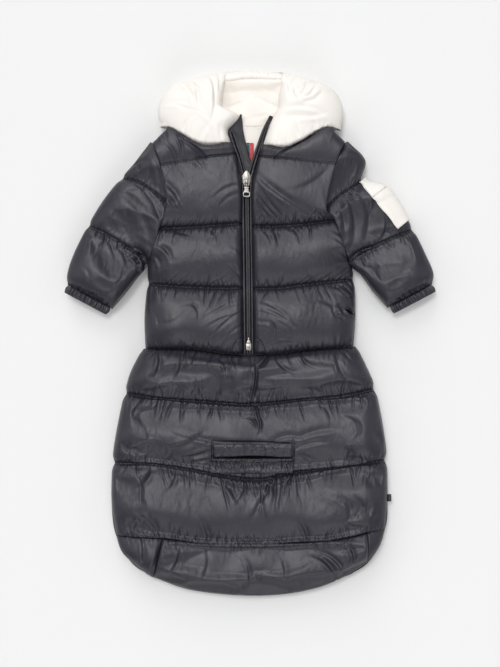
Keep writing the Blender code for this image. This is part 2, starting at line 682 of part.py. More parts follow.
def pull_tab():
    """The pull lies towards the hem and swings up on the slider's pin."""
    low, high = hinge_z - 0.9, hinge_z + 0.7
    half_eye, half_neck, half_band = 2.3, 2.9, 3.6
    band_top, band_foot, neck_foot = hinge_y - 2.4, hinge_y - 5.2, hinge_y - 9.6
    eye = prism("zip_pull", arc((hinge_y, hinge_z), 2.1, 0, 337.5, 16), slider_x - half_eye, slider_x + half_eye,
                "metal", "x")
    combine(eye, box("pull_shank", (slider_x - half_eye + 0.1, band_foot, low), (slider_x + half_eye - 0.1,
                     hinge_y - 1, high), "metal"))
    combine(eye, box("pull_neck", (slider_x - half_neck, neck_foot, low), (slider_x + half_neck, band_top - 0.4,
                     high), "metal"))
    combine(eye, box("pull_band", (slider_x - half_band, band_foot, low - 0.3), (slider_x + half_band, band_top,
                     high + 0.5), "metal"))
    loop = [(-3.6, 0), (3.6, 0), (5.2, -2.2), (5.2, -6.6), (3.8, -8.4), (-3.8, -8.4), (-5.2, -6.6), (-5.2, -2.2)]
    top_y = hinge_y - 8.6
    combine(eye, prism("pull_loop", [(slider_x + x, top_y + y) for x, y in loop], low + 0.1, high + 0.1, "metal"))
    window = [(-3.3, -2.4), (3.3, -2.4), (3.3, -6.2), (-3.3, -6.2)]
    combine(eye, prism("pull_window", [(slider_x + x, top_y + y) for x, y in window], low - 2, high + 2, "metal"),
            "DIFFERENCE")
    combine(eye, prism("pull_bore", arc((hinge_y, hinge_z), 1.15, 0, 337.5, 16), slider_x - 4, slider_x + 4, "metal",
                       "x"), "DIFFERENCE")
    return eye


def zip_foot(left, right):
    """The zip's bottom box, and the half-moon patches beside it."""
    box("zip_box", (-7.4, -23.0, zip_top + 0.4), (0.9, -5.0, zip_top + 3.4), "metal", bevel=0.6)
    for name, tree, centre, first, last in (
        ("patch_left", left, (-13.2, -24.0), 180, 95),
        ("patch_right", right, (6.4, -24.0), 0, 85),
    ):
        plan = [arc(centre, radius, first, last, 6) for radius in (2.0, 6.5, 11.5)]
        laid_on(name, tree, plan, 1.2, "shell_dark", reach=2.6)


def neck():
    # The facing's rows: y, left x and right x.
    rows = [
        (230.0, -13.0, 2.6),
        (246.0, -18.0, 9.0),
        (262.0, -24.0, 15.2),
        (280.0, -26.5, 19.5),
        (291.0, -17.5, 22.5),
    ]
    plan = [[(x, y) for x in between(left, right, 4)] for y, left, right in rows]
    sheet("neck_facing", plan, lining_height, 1.1, "cream_lining")
    plan = [[(x, y) for x in between(-15.4, -1.8, 2)] for y in between(243.6, 267.0, 2)]
    sheet("neck_label", plan, lining_height + 1.5, 0.8, "label")
    plan = [[(x, y) for x in between(-1.3, 2.0, 2)] for y in between(240.0, 267.0, 2)]
    sheet("hanging_loop", plan, lining_height + 1.5, 1.2, "loop")


def side_pocket(tree):
    """The welt of the pocket in the right front's side, along a slanting line."""
    start, end, half_wide = Vector((124.6, 66.0)), Vector((137.6, 51.4)), 4.2
    run = (end - start).normalized()
    across = Vector((-run.y, run.x)) * half_wide
    middles = [start.lerp(end, share) for share in between(0, 1, 4)]
    plan = [[tuple(m - across), tuple(m), tuple(m + across)] for m in middles]
    laid_on("side_pocket_welt", tree, plan, 1.6, "shell", reach=3.4)


Strip = namedtuple("Strip", "name top foot left right columns rows thick gather")

# The welt over the slot, the binding under it, and the elastic strip, which is drawn into upright gathers.
slot_strips = [
    Strip("slot_welt", -152.0, -169.6, -51.8, 56.0, 10, 3, 1.8, 0.0),
    Strip("slot_binding", -172.6, -176.6, -55.0, 57.4, 10, 2, 2.2, 0.0),
    Strip("slot_elastic", -177.6, -193.0, -56.0, 57.4, 29, 3, 1.4, 0.9),
]


def harness_slot(tree):
    for strip in slot_strips:
        columns = between(strip.left, strip.right, strip.columns)
        plan = [[(x, y) for x in columns] for y in between(strip.top, strip.foot, strip.rows)]
        thick = [[strip.thick + strip.gather * (c % 2) for c in range(strip.columns)]] * strip.rows
        laid_on(strip.name, tree, plan, thick, "shell", reach=6.5, rise=0.4)


def sleeve_pocket(tree):
    """A patch pocket that wraps the sleeve's outer edge, and the flap over its mouth."""
    start, end = Vector((157.5, 217.0)), Vector((211.0, 151.5))
    # The pocket's rows turn about a line inside the sleeve, from its upper side round to its underside.
    core_depth, angles, stations = 20.0, between(58, -24, 9), between(0.0, 1.0, 9)
    along_edge = (end - start).normalized()
    outward = Vector((-along_edge.y, along_edge.x))

    def reach(share, angle):
        """The core, the direction and the sleeve's distance in that direction."""
        middle = start + (end - start) * share - outward * core_depth
        turned = Vector((*(outward * math.cos(math.radians(angle))), math.sin(math.radians(angle))))
        core = Vector((*middle, seam_height))
        hit = tree.ray_cast(core + turned * 4 * core_depth, -turned)[0]
        return core, turned, (hit - core).length if hit else core_depth

    found = [[reach(s, a) for a in angles] for s in stations]

    def farthest(i, j):
        """The sleeve's largest distance around a place, so that the pocket clears its bulges."""
        rows, columns = found[max(i - 1, 0) : i + 2], slice(max(j - 1, 0), j + 2)
        return max(place[2] for row in rows for place in row[columns])

    far = [[farthest(i, j) for j in range(len(angles))] for i in range(len(stations))]

    def shell_piece(name, rows, rise, thick, columns):
        shape = bmesh.new()
        grid = []
        for extra in (rise, rise + thick):
            grid.append([
                [shape.verts.new(found[i][j][0] + found[i][j][1] * (far[i][j] + extra)) for j in columns]
                for i in rows
            ])
        height, width = len(grid[0]), len(grid[0][0])
        for layer in grid:
            for r in range(height - 1):
                for c in range(width - 1):
                    shape.faces.new((layer[r][c], layer[r][c + 1], layer[r + 1][c + 1], layer[r + 1][c]))
        loop = border(height, width)
        for (r, c), (s, d) in zip(loop, loop[1:] + loop[:1]):
            shape.faces.new((grid[0][r][c], grid[0][s][d], grid[1][s][d], grid[1][r][c]))
        return finish(name, shape, "cream_shell")

    shell_piece("sleeve_pocket", range(len(stations)), 0.9, 2.0, range(len(angles)))
    shell_piece("sleeve_pocket_flap", range(4), 3.3, 1.6, range(len(angles) - 1))


clear_scene()
body = jacket()
hood()
bag = foot_bag()
cuff("cuff_left", (-254.6, 67.0), (-198.2, 37.0), (-5.4, -9.4))
cuff("cuff_right", (195.8, 38.8), (251.4, 67.9), (5.2, -9.6))
zip_pieces()
slider()
pull_tab()
zip_foot(tree_of([body["front_left"]]), tree_of([body["front_right"]]))
neck()
side_pocket(tree_of([body["front_right"]]))
harness_slot(bag)
sleeve_pocket(tree_of([body["sleeve_front"], body["sleeve_back"]]))
box("side_tab", (191.6, -234.0, 18.9), (195.6, -224.0, 21.1), "shell_dark")
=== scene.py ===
import math
import random
import time

import bmesh
import bpy
import numpy as np
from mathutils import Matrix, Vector
from mathutils.bvhtree import BVHTree


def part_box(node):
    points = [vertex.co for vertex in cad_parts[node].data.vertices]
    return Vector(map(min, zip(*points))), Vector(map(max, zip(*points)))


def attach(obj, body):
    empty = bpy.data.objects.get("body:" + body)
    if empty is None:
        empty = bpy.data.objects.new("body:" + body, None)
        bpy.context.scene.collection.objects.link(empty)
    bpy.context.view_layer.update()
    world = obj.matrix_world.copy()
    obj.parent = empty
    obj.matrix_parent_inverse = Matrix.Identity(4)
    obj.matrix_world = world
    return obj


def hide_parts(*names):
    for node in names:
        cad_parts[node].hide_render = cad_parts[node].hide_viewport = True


startTime = time.time()
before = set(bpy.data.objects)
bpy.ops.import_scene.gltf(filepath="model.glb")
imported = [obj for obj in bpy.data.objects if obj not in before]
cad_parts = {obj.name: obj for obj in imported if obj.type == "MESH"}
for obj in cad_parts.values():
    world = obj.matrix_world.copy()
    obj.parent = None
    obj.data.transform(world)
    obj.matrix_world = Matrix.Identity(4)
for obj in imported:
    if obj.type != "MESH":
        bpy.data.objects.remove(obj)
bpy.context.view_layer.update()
bpy.ops.object.select_all(action="DESELECT")


def report(stage):
    print(f"{time.time() - startTime:6.1f} s  {stage}")


# Places and sizes are in millimetres until a mesh is made.
toMetres = 0.001

garment = {
    "seamHeight": 20.0,  # where the front and back walls meet at the side seams
    "seamGap": 0.06,  # how far each piece draws back from a seam
    "across": 1.9,  # spacing of the front walls' points along a seam
    "along": 3.1,  # and from seam to seam
    "backStep": 4.0,  # spacing of the back walls' points, both ways
    "quiltDepth": 0.43,  # the share of its puff that a wall keeps at a sewn line
    "fill": 0.7,  # how tightly the down fills each wall
}

# Each line runs across its piece, from its left edge to its right one: name, sewn, points.
leftFrontLines = [
    ("hem", True, [(-147, -20), (-83, -21), (-29, -28), (-10.8, -28)]),
    ("low", False, [(-149, 22), (-83, 20), (-11.2, 20)]),
    ("waist", True, [(-145, 70), (-99, 66), (-50, 64), (-11.4, 64)]),
    ("ribs", False, [(-143, 104), (-71, 109), (-12.0, 109)]),
    ("chest", True, [(-127, 147), (-81, 149), (-12.6, 154)]),
    ("breast", False, [(-117, 184), (-64, 195), (-12.8, 201)]),
    ("yoke", True, [(-126, 234), (-71, 243), (-21, 250)]),
    ("neck", True, [(-136, 266), (-112, 286), (-92, 274), (-71, 262), (-26.5, 266)]),
]
rightFrontLines = [
    ("hem", True, [(3.8, -28), (32, -28), (80, -22), (142, -17)]),
    ("low", False, [(3.4, 20), (69, 21), (146, 25)]),
    ("waist", True, [(2.6, 63), (41, 64), (78, 69), (144, 76)]),
    ("ribs", False, [(2.0, 109), (69, 112), (136, 112)]),
    ("chest", True, [(1.2, 150), (55, 151), (116, 158)]),
    ("breast", False, [(1.2, 201), (55, 196), (104.5, 176)]),
    ("yoke", True, [(10.5, 246), (69, 241), (118, 236)]),
    ("neck", True, [(16.6, 263), (45, 258), (66, 266), (104, 286), (130, 267)]),
]
leftSleeveLines = [
    ("crown", True, [(-141, 268), (-139, 268), (-136, 266)]),
    ("yoke", False, [(-164, 238), (-144, 240), (-126, 234)]),
    ("upper", True, [(-182, 218), (-154, 210), (-117, 184)]),
    ("arm", False, [(-206, 188), (-165, 172), (-124, 156)]),
    ("elbow", True, [(-228, 152), (-196, 136), (-165, 116), (-143, 101)]),
    ("fore", False, [(-248, 112), (-204, 90), (-160, 77)]),
    ("hand", False, [(-257, 84), (-215, 64), (-176, 56)]),
    ("wrist", True, [(-256, 68), (-236, 57.4), (-215, 46.2), (-194, 35)]),
]
rightSleeveLines = [
    ("crown", True, [(130, 267), (133, 269), (136, 269)]),
    ("yoke", False, [(118, 236), (141, 248), (160, 243)]),
    ("upper", True, [(104.5, 176), (126, 195), (157, 214)]),
    ("arm", False, [(116, 158), (152, 178), (195, 198)]),
    ("elbow", True, [(137, 100.5), (157, 114), (187, 130), (227, 146)]),
    ("fore", False, [(155, 81), (202, 98), (244, 112)]),
    ("hand", False, [(171, 59), (212, 68), (255, 86)]),
    ("wrist", True, [(191, 36.5), (212, 47.5), (232, 58), (253, 69)]),
]
leftHoodLines = [
    ("neck", True, [(-125, 288), (-112, 286), (-92, 274), (-71, 262), (-52, 262), (-27, 266)]),
    ("cheek", False, [(-130, 306), (-75, 294), (-31.5, 284)]),
    ("corner", False, [(-128, 322), (-75, 312), (-16, 303)]),
    ("rim", False, [(-118, 338), (-75, 328), (-38, 314)]),
    ("temple", False, [(-104, 350), (-70, 342), (-39, 330)]),
    ("brow", False, [(-76, 358), (-57, 354), (-37, 345)]),
    ("crown", True, [(-52, 364), (-45, 365), (-35, 366)]),
]
rightHoodLines = [
    ("neck", True, [(16.6, 263), (45, 258), (66, 266), (92, 281), (104, 286), (125, 283)]),
    ("cheek", False, [(23, 283), (70, 294), (128, 302)]),
    ("corner", False, [(30, 302), (72, 311), (128, 318)]),
    ("rim", False, [(37, 315), (72, 326), (119, 337)]),
    ("temple", False, [(38, 330), (70, 338), (101, 349)]),
    ("brow", False, [(41, 344), (59, 350), (77, 357)]),
    ("crown", True, [(44, 365), (49, 365), (55, 364)]),
]
hoodCentreLines = [
    ("rim", True, [(-35, 349), (0, 354), (41, 352)]),
    ("crown", True, [(-34, 366), (0, 368), (43, 365)]),
]
hoodBackLines = [
    ("neck", True, [(-125, 290), (-112, 290), (-60, 291.5), (0, 292), (60, 291), (104, 288.5), (125, 287)]),
    ("cheek", False, [(-130, 306), (0, 309), (128, 302)]),
    ("corner", False, [(-128, 322), (0, 328), (128, 318)]),
    ("rim", False, [(-118, 338), (0, 342), (119, 337)]),
    ("temple", False, [(-104, 350), (0, 352), (101, 349)]),
    ("brow", False, [(-76, 358), (0, 361), (77, 357)]),
    ("crown", True, [(-50, 364), (0, 368), (53, 364)]),
]
bagFrontLines = [
    ("waist", True, [(-152, -20), (-83, -21.3), (-29, -28.3), (32, -28.3), (80, -22.3), (148, -17)]),
    ("hips", False, [(-169, -54), (-85, -58), (0, -64), (83, -58), (165, -52)]),
    ("knees", True, [(-177, -83), (-127, -90), (-66, -94), (1, -98), (69, -92), (125, -87), (174, -77)]),
    ("shins", False, [(-189, -140), (0, -148), (186, -137)]),
    ("ankles", True, [(-194, -180), (-141, -181), (-91, -188), (1, -202), (57, -193), (125, -185),
                      (190, -176)]),
    ("feet", False, [(-195, -236), (0, -249), (191, -230)]),
    ("toes", True, [(-189, -281), (-127, -284), (-55, -291), (41, -291), (119, -286), (162, -276),
                    (188, -271)]),
]
bagBottomLines = [
    ("toes", True, [(-123, -284.5), (-55, -291), (41, -291), (119, -286), (161, -276.5)]),
    ("fold", False, [(-128, -310), (-55, -327), (0, -330), (81, -322), (162, -298)]),
    ("foot", True, [(-137, -340), (-83, -358), (0, -366), (76, -359), (122, -344), (162, -320)]),
]
leftGussetLines = [
    ("toes", True, [(-189, -281.5), (-156, -283), (-123, -284.5)]),
    ("fold", False, [(-179, -307), (-154, -309), (-128, -310)]),
    ("foot", True, [(-150, -332), (-143, -337), (-137, -340)]),
]
rightGussetLines = [
    ("toes", True, [(161, -276.5), (175, -273), (188, -271.5)]),
    ("fold", False, [(162, -298), (171, -296), (181, -295)]),
    ("foot", True, [(162, -320), (164, -319), (167, -317)]),
]
bagBackLines = [
    ("waist", True, [(-147, -28.4), (-71, -28.4), (0, -28.4), (76, -28.4), (142, -28.4)]),
    ("hips", False, [(-166, -53), (0, -60), (162, -52)]),
    ("knees", False, [(-177, -83), (0, -98), (174, -77)]),
    ("shins", False, [(-189, -140), (0, -148), (186, -137)]),
    ("ankles", False, [(-194, -180), (0, -202), (190, -176)]),
    ("feet", False, [(-195, -236), (0, -249), (191, -230)]),
    ("toes", False, [(-189, -281), (0, -291), (188, -271)]),
    ("heel", False, [(-167, -320), (0, -330), (166, -317)]),
    ("foot", True, [(-137, -340), (-83, -358), (0, -366), (76, -359), (140, -336)]),
]
jacketBackLines = [
    ("hem", True, [(-147, -28.4), (0, -28.4), (142, -28.4)]),
    ("low", False, [(-149, 22), (0, 20), (146, 25)]),
    ("waist", True, [(-145, 70), (0, 64), (144, 76)]),
    ("ribs", False, [(-143, 104), (0, 109), (136, 112)]),
    ("chest", True, [(-127, 147), (0, 152), (116, 158)]),
    ("breast", False, [(-116, 184), (0, 196), (104, 178)]),
    ("yoke", True, [(-126, 234), (0, 246), (118, 236)]),
    ("neck", True, [(-136, 266), (-112, 286), (-60, 289), (0, 289.5), (60, 288.5), (104, 286), (130, 267)]),
]
# Seams that two pieces share.
sharedSeams = [
    [(-136, 266), (-126, 234), (-117, 184), (-127, 147), (-143, 101)],
    [(130, 267), (118, 236), (104.5, 176), (116, 158), (137, 101)],
    [(-127, 289), (-112, 286), (-92, 274.5), (-71, 263.5), (-50, 262), (-26.5, 266)],
    [(16.6, 263), (45, 258.5), (66, 266), (85, 277), (104, 286), (127, 285)],
    [(-36.5, 349), (-35, 358), (-34.5, 367)],
    [(41.5, 350), (42.5, 358), (43.5, 366)],
]


def smoothThrough(points, place):
    # a point on the Catmull-Rom curve through the points; place counts points from 0
    k = min(int(place), len(points) - 2)
    b, c = points[k], points[k + 1]
    a = points[k - 1] if k else 2 * b - c
    d = points[k + 2] if k + 2 < len(points) else 2 * c - b
    t = place - k
    return 0.5 * (2 * b + (c - a) * t + (2 * a - 5 * b + 4 * c - d) * t * t + (3 * b - a - 3 * c + d) * t**3)


def alongLine(points, share):
    vectors = [np.array(p, float) for p in points]
    steps = [np.linalg.norm(b - a) for a, b in zip(vectors, vectors[1:])]
    left = share * sum(steps)
    for k, step in enumerate(steps):
        if left <= step or k == len(steps) - 1:
            return smoothThrough(vectors, k + min(left / step, 1.0))
        left -= step


seamPoints = np.array([alongLine(line, k / 400) for line in sharedSeams for k in range(401)])


def onSeam(points):
    # how far each point has to move to reach a shared seam that is near it
    apart = np.linalg.norm(points[:, None] - seamPoints[None], axis=2)
    nearest = apart.argmin(axis=1)
    near = apart[np.arange(len(points)), nearest] < 5
    return np.where(near[:, None], seamPoints[nearest] - points, 0.0)


def spread(first, last, count):
    return np.linspace(first, last, count)


def throughRows(rows, count):
    # that many rows of measures, evenly along a smooth curve through those given
    rows = [np.array(row, float) for row in rows]
    return [smoothThrough(rows, k / (count - 1) * (len(rows) - 1)) for k in range(count)]


def meanAround(grid):
    # the mean of each place's four neighbours
    wide = np.pad(grid, 1, mode="edge")
    return (wide[:-2, 1:-1] + wide[2:, 1:-1] + wide[1:-1, :-2] + wide[1:-1, 2:]) / 4


def uneven(x, y, size, seed):
    # smooth bumps of about that size, between about -1 and 1
    dice = random.Random(seed)
    total = np.zeros(np.shape(x))
    for _ in range(8):
        angle, length = dice.uniform(0, math.tau), size * dice.uniform(0.7, 1.7)
        along = x * math.cos(angle) + y * math.sin(angle)
        total += np.sin(along * math.tau / length + dice.uniform(0, math.tau))
    return total / 3


def doubled(grid):
    # one more row between each two, on a smooth curve through the four nearest
    wide = np.concatenate([2 * grid[:1] - grid[1:2], grid, 2 * grid[-1:] - grid[-2:-1]])
    middles = (9 * (wide[1:-2] + wide[2:-1]) - wide[:-3] - wide[3:]) / 16
    result = np.empty((2 * len(grid) - 1, *grid.shape[1:]))
    result[::2], result[1::2] = grid, middles
    return result


def finer(grid):
    return np.swapaxes(doubled(np.swapaxes(doubled(grid), 0, 1)), 0, 1)


def running(grid, axis):
    # the length of the grid's lines up to each point
    steps = np.linalg.norm(np.diff(grid, axis=axis), axis=2)
    start = np.zeros((1, grid.shape[1])) if axis == 0 else np.zeros((grid.shape[0], 1))
    return np.concatenate([start, np.cumsum(steps, axis=axis)], axis=axis)


def normalsOf(grid):
    across, along = np.gradient(grid, axis=1), np.gradient(grid, axis=0)
    normal = np.cross(across, along)
    normal /= np.maximum(np.linalg.norm(normal, axis=2, keepdims=True), 1e-9)
    return normal * np.sign(normal[..., 2:].mean() or 1)


def gridFaces(rows, columns, first=0):
    index = first + np.arange(rows * columns).reshape(rows, columns)
    return np.stack([index[:-1, :-1], index[:-1, 1:], index[1:, 1:], index[1:, :-1]], axis=-1).reshape(-1, 4)


def borderOf(rows, columns):
    index = np.arange(rows * columns).reshape(rows, columns)
    return np.concatenate([index[0, :-1], index[:-1, -1], index[-1, :0:-1], index[:0:-1, 0]])


def meshObject(name, points, faces, places=None, smooth=True, sharp=None):
    # a mesh in metres from points in millimetres; places are the cloth's own coordinates, for the weave;
    # sharp holds each point's number of the rim it lies on, and the edges of a rim are sharp
    mesh = bpy.data.meshes.new(name)
    mesh.from_pydata((np.asarray(points) * toMetres).tolist(), [], [list(map(int, f)) for f in faces])
    if places is not None:
        layer = mesh.uv_layers.new(name="cloth")
        corners = np.zeros(len(mesh.loops), np.int32)
        mesh.loops.foreach_get("vertex_index", corners)
        layer.data.foreach_set("uv", (places[corners] * toMetres).astype(np.float32).ravel())
    mesh.update()
    if smooth:
        mesh.shade_smooth()
    if sharp is not None:
        ends = np.zeros(len(mesh.edges) * 2, np.int32)
        mesh.edges.foreach_get("vertices", ends)
        ends = ends.reshape(-1, 2)
        creased = (sharp[ends[:, 0]] > 0) & (sharp[ends[:, 0]] == sharp[ends[:, 1]])
        attribute = mesh.attributes.new("sharp_edge", "BOOLEAN", "EDGE")
        attribute.data.foreach_set("value", creased)
    made = bpy.data.objects.new(name, mesh)
    bpy.context.scene.collection.objects.link(made)
    return made


def faceOutwards(made):
    shape = bmesh.new()
    shape.from_mesh(made.data)
    bmesh.ops.recalc_face_normals(shape, faces=shape.faces)
    shape.to_mesh(made.data)
    shape.free()


def settle(made, slot, finish, *replaced, body="garment"):
    # every finished piece gets its body and its finish, and the nodes that it stands for are hidden
    made.data.materials.clear()
    made.data.materials.append(finish)
    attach(made, body)
    if replaced:
        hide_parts(*replaced)
    return made


def thinSheet(name, top, thick):
    # a closed thin sheet from rows of points on its upper side; thick is one number or one for each point
    rows, columns = top.shape[:2]
    normal = normalsOf(top)
    under = top - normal * np.broadcast_to(np.asarray(thick, float), (rows, columns))[..., None]
    points = np.concatenate([top.reshape(-1, 3), under.reshape(-1, 3)])
    count = rows * columns
    upper, lower = gridFaces(rows, columns), gridFaces(rows, columns, count)[:, ::-1]
    edge = borderOf(rows, columns)
    after = np.roll(edge, -1)
    rim = np.stack([edge, edge + count, after + count, after], axis=-1)
    places = np.stack([running(top, 1), running(top, 0)], axis=-1).reshape(-1, 2)
    made = meshObject(name, points, np.concatenate([upper, lower, rim]), np.concatenate([places, places]))
    faceOutwards(made)
    return made


def declareSheet(made, top, held, restsOn=(), withPieces=()):
    # the steps between neighbouring points along the cloth's rows and columns; nothing more is done with them
    sides = top[:-1, 1:] - top[:-1, :-1], top[1:, :-1] - top[:-1, :-1]


# how deep a notch the outline has where these lines meet it
notches = {"knees": 3.0, "ankles": 3.6, "elbow": 2.4, "upper": 3.0, "waist": 2.0}

# ways in which a wall falls to its edge: the share of its puff that it keeps there, how far in that reaches
sideRoll = (0.035, 56)
seamFall = (0.5, 16)
softFall = (0.72, 14)
sleeveFall = (0.97, 2)
armFall = (0.96, 2)
gussetFall = (0.88, 5)
footRoll = (0.03, 38)
openEdge = (1.0, 1.0)
neckFall = (0.95, 8)
hoodFall = (0.84, 6)
mouthFall = (0.3, 18)
wristFall = (0.3, 20)
waistFall = (0.35, 24)
# an edge may change from one way to another between two heights of the picture: above, below, from, to
zipFall = ((0.58, 6), (0.54, 10), 148, 172)
hoodMouth = ((0.72, 8), mouthFall, 343, 352)
jacketArm = (armFall, sideRoll, 96, 122)
underarm = (sleeveFall, (0.12, 22), 84, 106)


def turnDown(distance, kept, width):
    reach = np.clip(distance / width, 0, 1)
    return kept + (1 - kept) * np.sqrt(np.clip(1 - (1 - reach) ** 2.6, 0, 1))


def edgeShare(distance, edge, heightY):
    if len(edge) == 2:
        return turnDown(distance, *edge)
    above, below, low, high = edge
    share = np.clip((heightY - low) / (high - low), 0, 1)
    share = share * share * (3 - 2 * share)
    return share * turnDown(distance, *above) + (1 - share) * turnDown(distance, *below)


# How the cloth is blown up between its seams.
blowing = {
    "frames": 26,
    "quality": 5,
    "mass": 0.12,
    "stretch": 18,
    "shear": 4,
    "bend": 0.4,
    "damping": 5,
    "air": 2,
    "pressure": 4,
    "furthest": 8.0,  # how far a point may move
}


class Wall:
    # one padded wall: a grid of cloth that is held along its seams and puffs between them
    def __init__(self, name, lines, puff, edges, spare=(0.07, 0.03), depth=None, facing=1, seed=1, steps=None):
        self.name, self.facing, self.seed, self.spare = name, facing, seed, spare
        depth = depth or (garment["quiltDepth"],) * sum(line[1] for line in lines)
        # how strongly each sewn line draws the cloth in
        self.draws = [1.0 if "hood" in name else (1 - d) / (1 - garment["quiltDepth"]) for d in depth]
        across, along = steps or (garment["across"], garment["along"])
        middle = [alongLine(line[2], 0.5) for line in lines]
        widths = [np.linalg.norm(alongLine(line[2], 1) - alongLine(line[2], 0)) for line in lines]
        columns = spread(0, 1, max(int(max(widths) * 0.85 / across), 8) + 1)
        sewn = [k for k, line in enumerate(lines) if line[1]]
        places, swells, self.stitched = [], [], []
        for first, last in zip(sewn, sewn[1:]):
            pairs = zip(middle[first:last], middle[first + 1 : last + 1])
            length = sum(np.linalg.norm(b - a) for a, b in pairs)
            count = max(int(round(length / along)), 6)
            self.stitched.append(len(places))
            for k in range(count):
                t = k / count
                t = 0.65 * t + 0.35 * (0.5 - 0.5 * math.cos(math.pi * t))  # closer beside the seams
                places.append(first + t * (last - first))
                swells.append(math.sin(math.pi * t) ** 0.66)
        self.stitched.append(len(places))
        places.append(float(sewn[-1]))
        swells.append(0.0)
        spots = [[alongLine(line[2], u) for line in lines] for u in columns]
        plan = np.array([[smoothThrough(spot, place) for spot in spots] for place in places])
        plan = self.plan = self.joinSeams(self.drawIn(plan, lines, places, edges))
        fromLeft, fromStart = running(plan, 1), running(plan, 0)
        distances = fromLeft, fromLeft[:, -1:] - fromLeft, fromStart, fromStart[-1:] - fromStart
        kept = np.interp(places, sewn, depth)[:, None]
        share = kept + (1 - kept) * np.array(swells)[:, None]
        for distance, edge in zip(distances, edges):
            share = share * edgeShare(distance, edge, plan[..., 1])
        tall = np.maximum(puff * share * (1 + 0.05 * uneven(plan[..., 0], plan[..., 1], 70, seed)), 0.8)
        seam = garment["seamHeight"]
        if facing > 0:
            height = seam + 0.15 + tall
        else:
            height = seam - 0.15 - (seam - 0.35) * np.minimum(1, tall / (0.55 * puff))
        self.points = np.concatenate([plan, height[..., None]], axis=2)

    def drawIn(self, plan, lines, places, edges):
        # the garment's outline has a small notch where a quilted row meets its side
        down = running(plan, 0)
        for k, (name, *_) in enumerate(lines):
            for column, inner, way in ((0, 1, edges[0]), (-1, -2, edges[1])):
                if name not in notches or way not in (sideRoll, jacketArm):
                    continue
                level = np.interp(k, places, down[:, column])
                inwards = plan[:, inner] - plan[:, column]
                inwards /= np.maximum(np.linalg.norm(inwards, axis=1, keepdims=True), 1e-6)
                near = notches[name] * np.exp(-(((down[:, column] - level) / 6) ** 2))
                fade = np.clip(1 - np.linalg.norm(plan - plan[:, [column]], axis=2) / 22, 0, 1)
                plan = plan + (inwards * near[:, None])[:, None] * fade[..., None]
        return plan

    def joinSeams(self, plan):
        # the edges move onto the seams that they share, and the cloth beside them follows
        for edge, inner in ((0, 1), (-1, -1)):
            for axis in (0, 1):
                lines = np.swapaxes(plan, 0, axis)
                move = onSeam(lines[edge])
                away = np.linalg.norm(lines - lines[edge][None], axis=2)
                fade = np.clip(1 - away / 25, 0, 1)[..., None]
                lines += move[None] * fade
                inwards = lines[edge + inner] - lines[edge]
                inwards /= np.maximum(np.linalg.norm(inwards, axis=1, keepdims=True), 1e-6)
                lines[edge] += inwards * garment["seamGap"] * (1 if self.facing > 0 else 0.3)
        return plan

    def prepare(self):
        rows, columns = self.points.shape[:2]
        self.cloth = meshObject(self.name + "Cloth", self.points.reshape(-1, 3), gridFaces(rows, columns))
        self.cloth.shape_key_add(name="sewn")
        rest = self.cloth.shape_key_add(name="cut")
        flat = self.points.reshape(-1, 3)
        middle = flat.mean(axis=0)
        run = self.points[:, -1, :2].mean(axis=0) - self.points[:, 0, :2].mean(axis=0)
        run /= np.linalg.norm(run)
        rise = np.array([-run[1], run[0]])
        away = flat - middle
        acrossPart, alongPart = away[:, :2] @ run, away[:, :2] @ rise
        ripples = 0.45 * uneven(acrossPart, alongPart * 0.3, 26, self.seed + 50)
        acrossPart = acrossPart * (1 + self.spare[0]) + ripples
        ripples = 0.25 * uneven(acrossPart, alongPart, 40, self.seed + 60)
        alongPart = alongPart * (1 + self.spare[1]) + ripples
        cutPlan = middle[:2] + np.outer(acrossPart, run) + np.outer(alongPart, rise)
        cut = np.column_stack([cutPlan, flat[:, 2]])
        rest.data.foreach_set("co", (cut * toMetres).astype(np.float32).ravel())
        held = np.zeros((rows, columns), bool)
        held[self.stitched] = True
        held[:, 0] = held[:, -1] = True
        pins = self.cloth.vertex_groups.new(name="seams")
        pins.add([int(k) for k in np.flatnonzero(held)], 1.0, "REPLACE")
        cloth = self.cloth.modifiers.new("cloth", "CLOTH")
        way = cloth.settings
        way.quality = blowing["quality"]
        way.mass = blowing["mass"]
        way.tension_stiffness = way.compression_stiffness = blowing["stretch"]
        way.shear_stiffness = blowing["shear"]
        way.bending_stiffness = blowing["bend"]
        way.tension_damping = way.compression_damping = way.shear_damping = blowing["damping"]
        way.air_damping = blowing["air"]
        way.use_pressure = True
        way.uniform_pressure_force = blowing["pressure"]
        way.vertex_group_mass = "seams"
        way.rest_shape_key = rest
        way.effector_weights.gravity = 0
        cloth.collision_settings.use_self_collision = False
        cloth.collision_settings.use_collision = False

    def collect(self):
        evaluated = self.cloth.evaluated_get(bpy.context.evaluated_depsgraph_get())
        points = np.zeros(len(evaluated.data.vertices) * 3, np.float32)
        evaluated.data.vertices.foreach_get("co", points)
        moved = points.reshape(self.points.shape) / toMetres - self.points
        length = np.linalg.norm(moved, axis=2, keepdims=True)
        self.points = self.points + moved * np.minimum(1, blowing["furthest"] / np.maximum(length, 1e-6))
        bpy.data.objects.remove(self.cloth)

    def refine(self):
        self.points = finer(self.points)
        self.plan = finer(self.plan)
        self.stitched = [2 * k for k in self.stitched]
        self.across, self.along = running(self.plan, 1), running(self.plan, 0)
        self.push = np.zeros(self.points.shape[:2])
        self.headFirst = bool(self.plan[0, 0, 1] > self.plan[-1, 0, 1])

    def pucker(self, row, side, place, length, width, depth, slant):
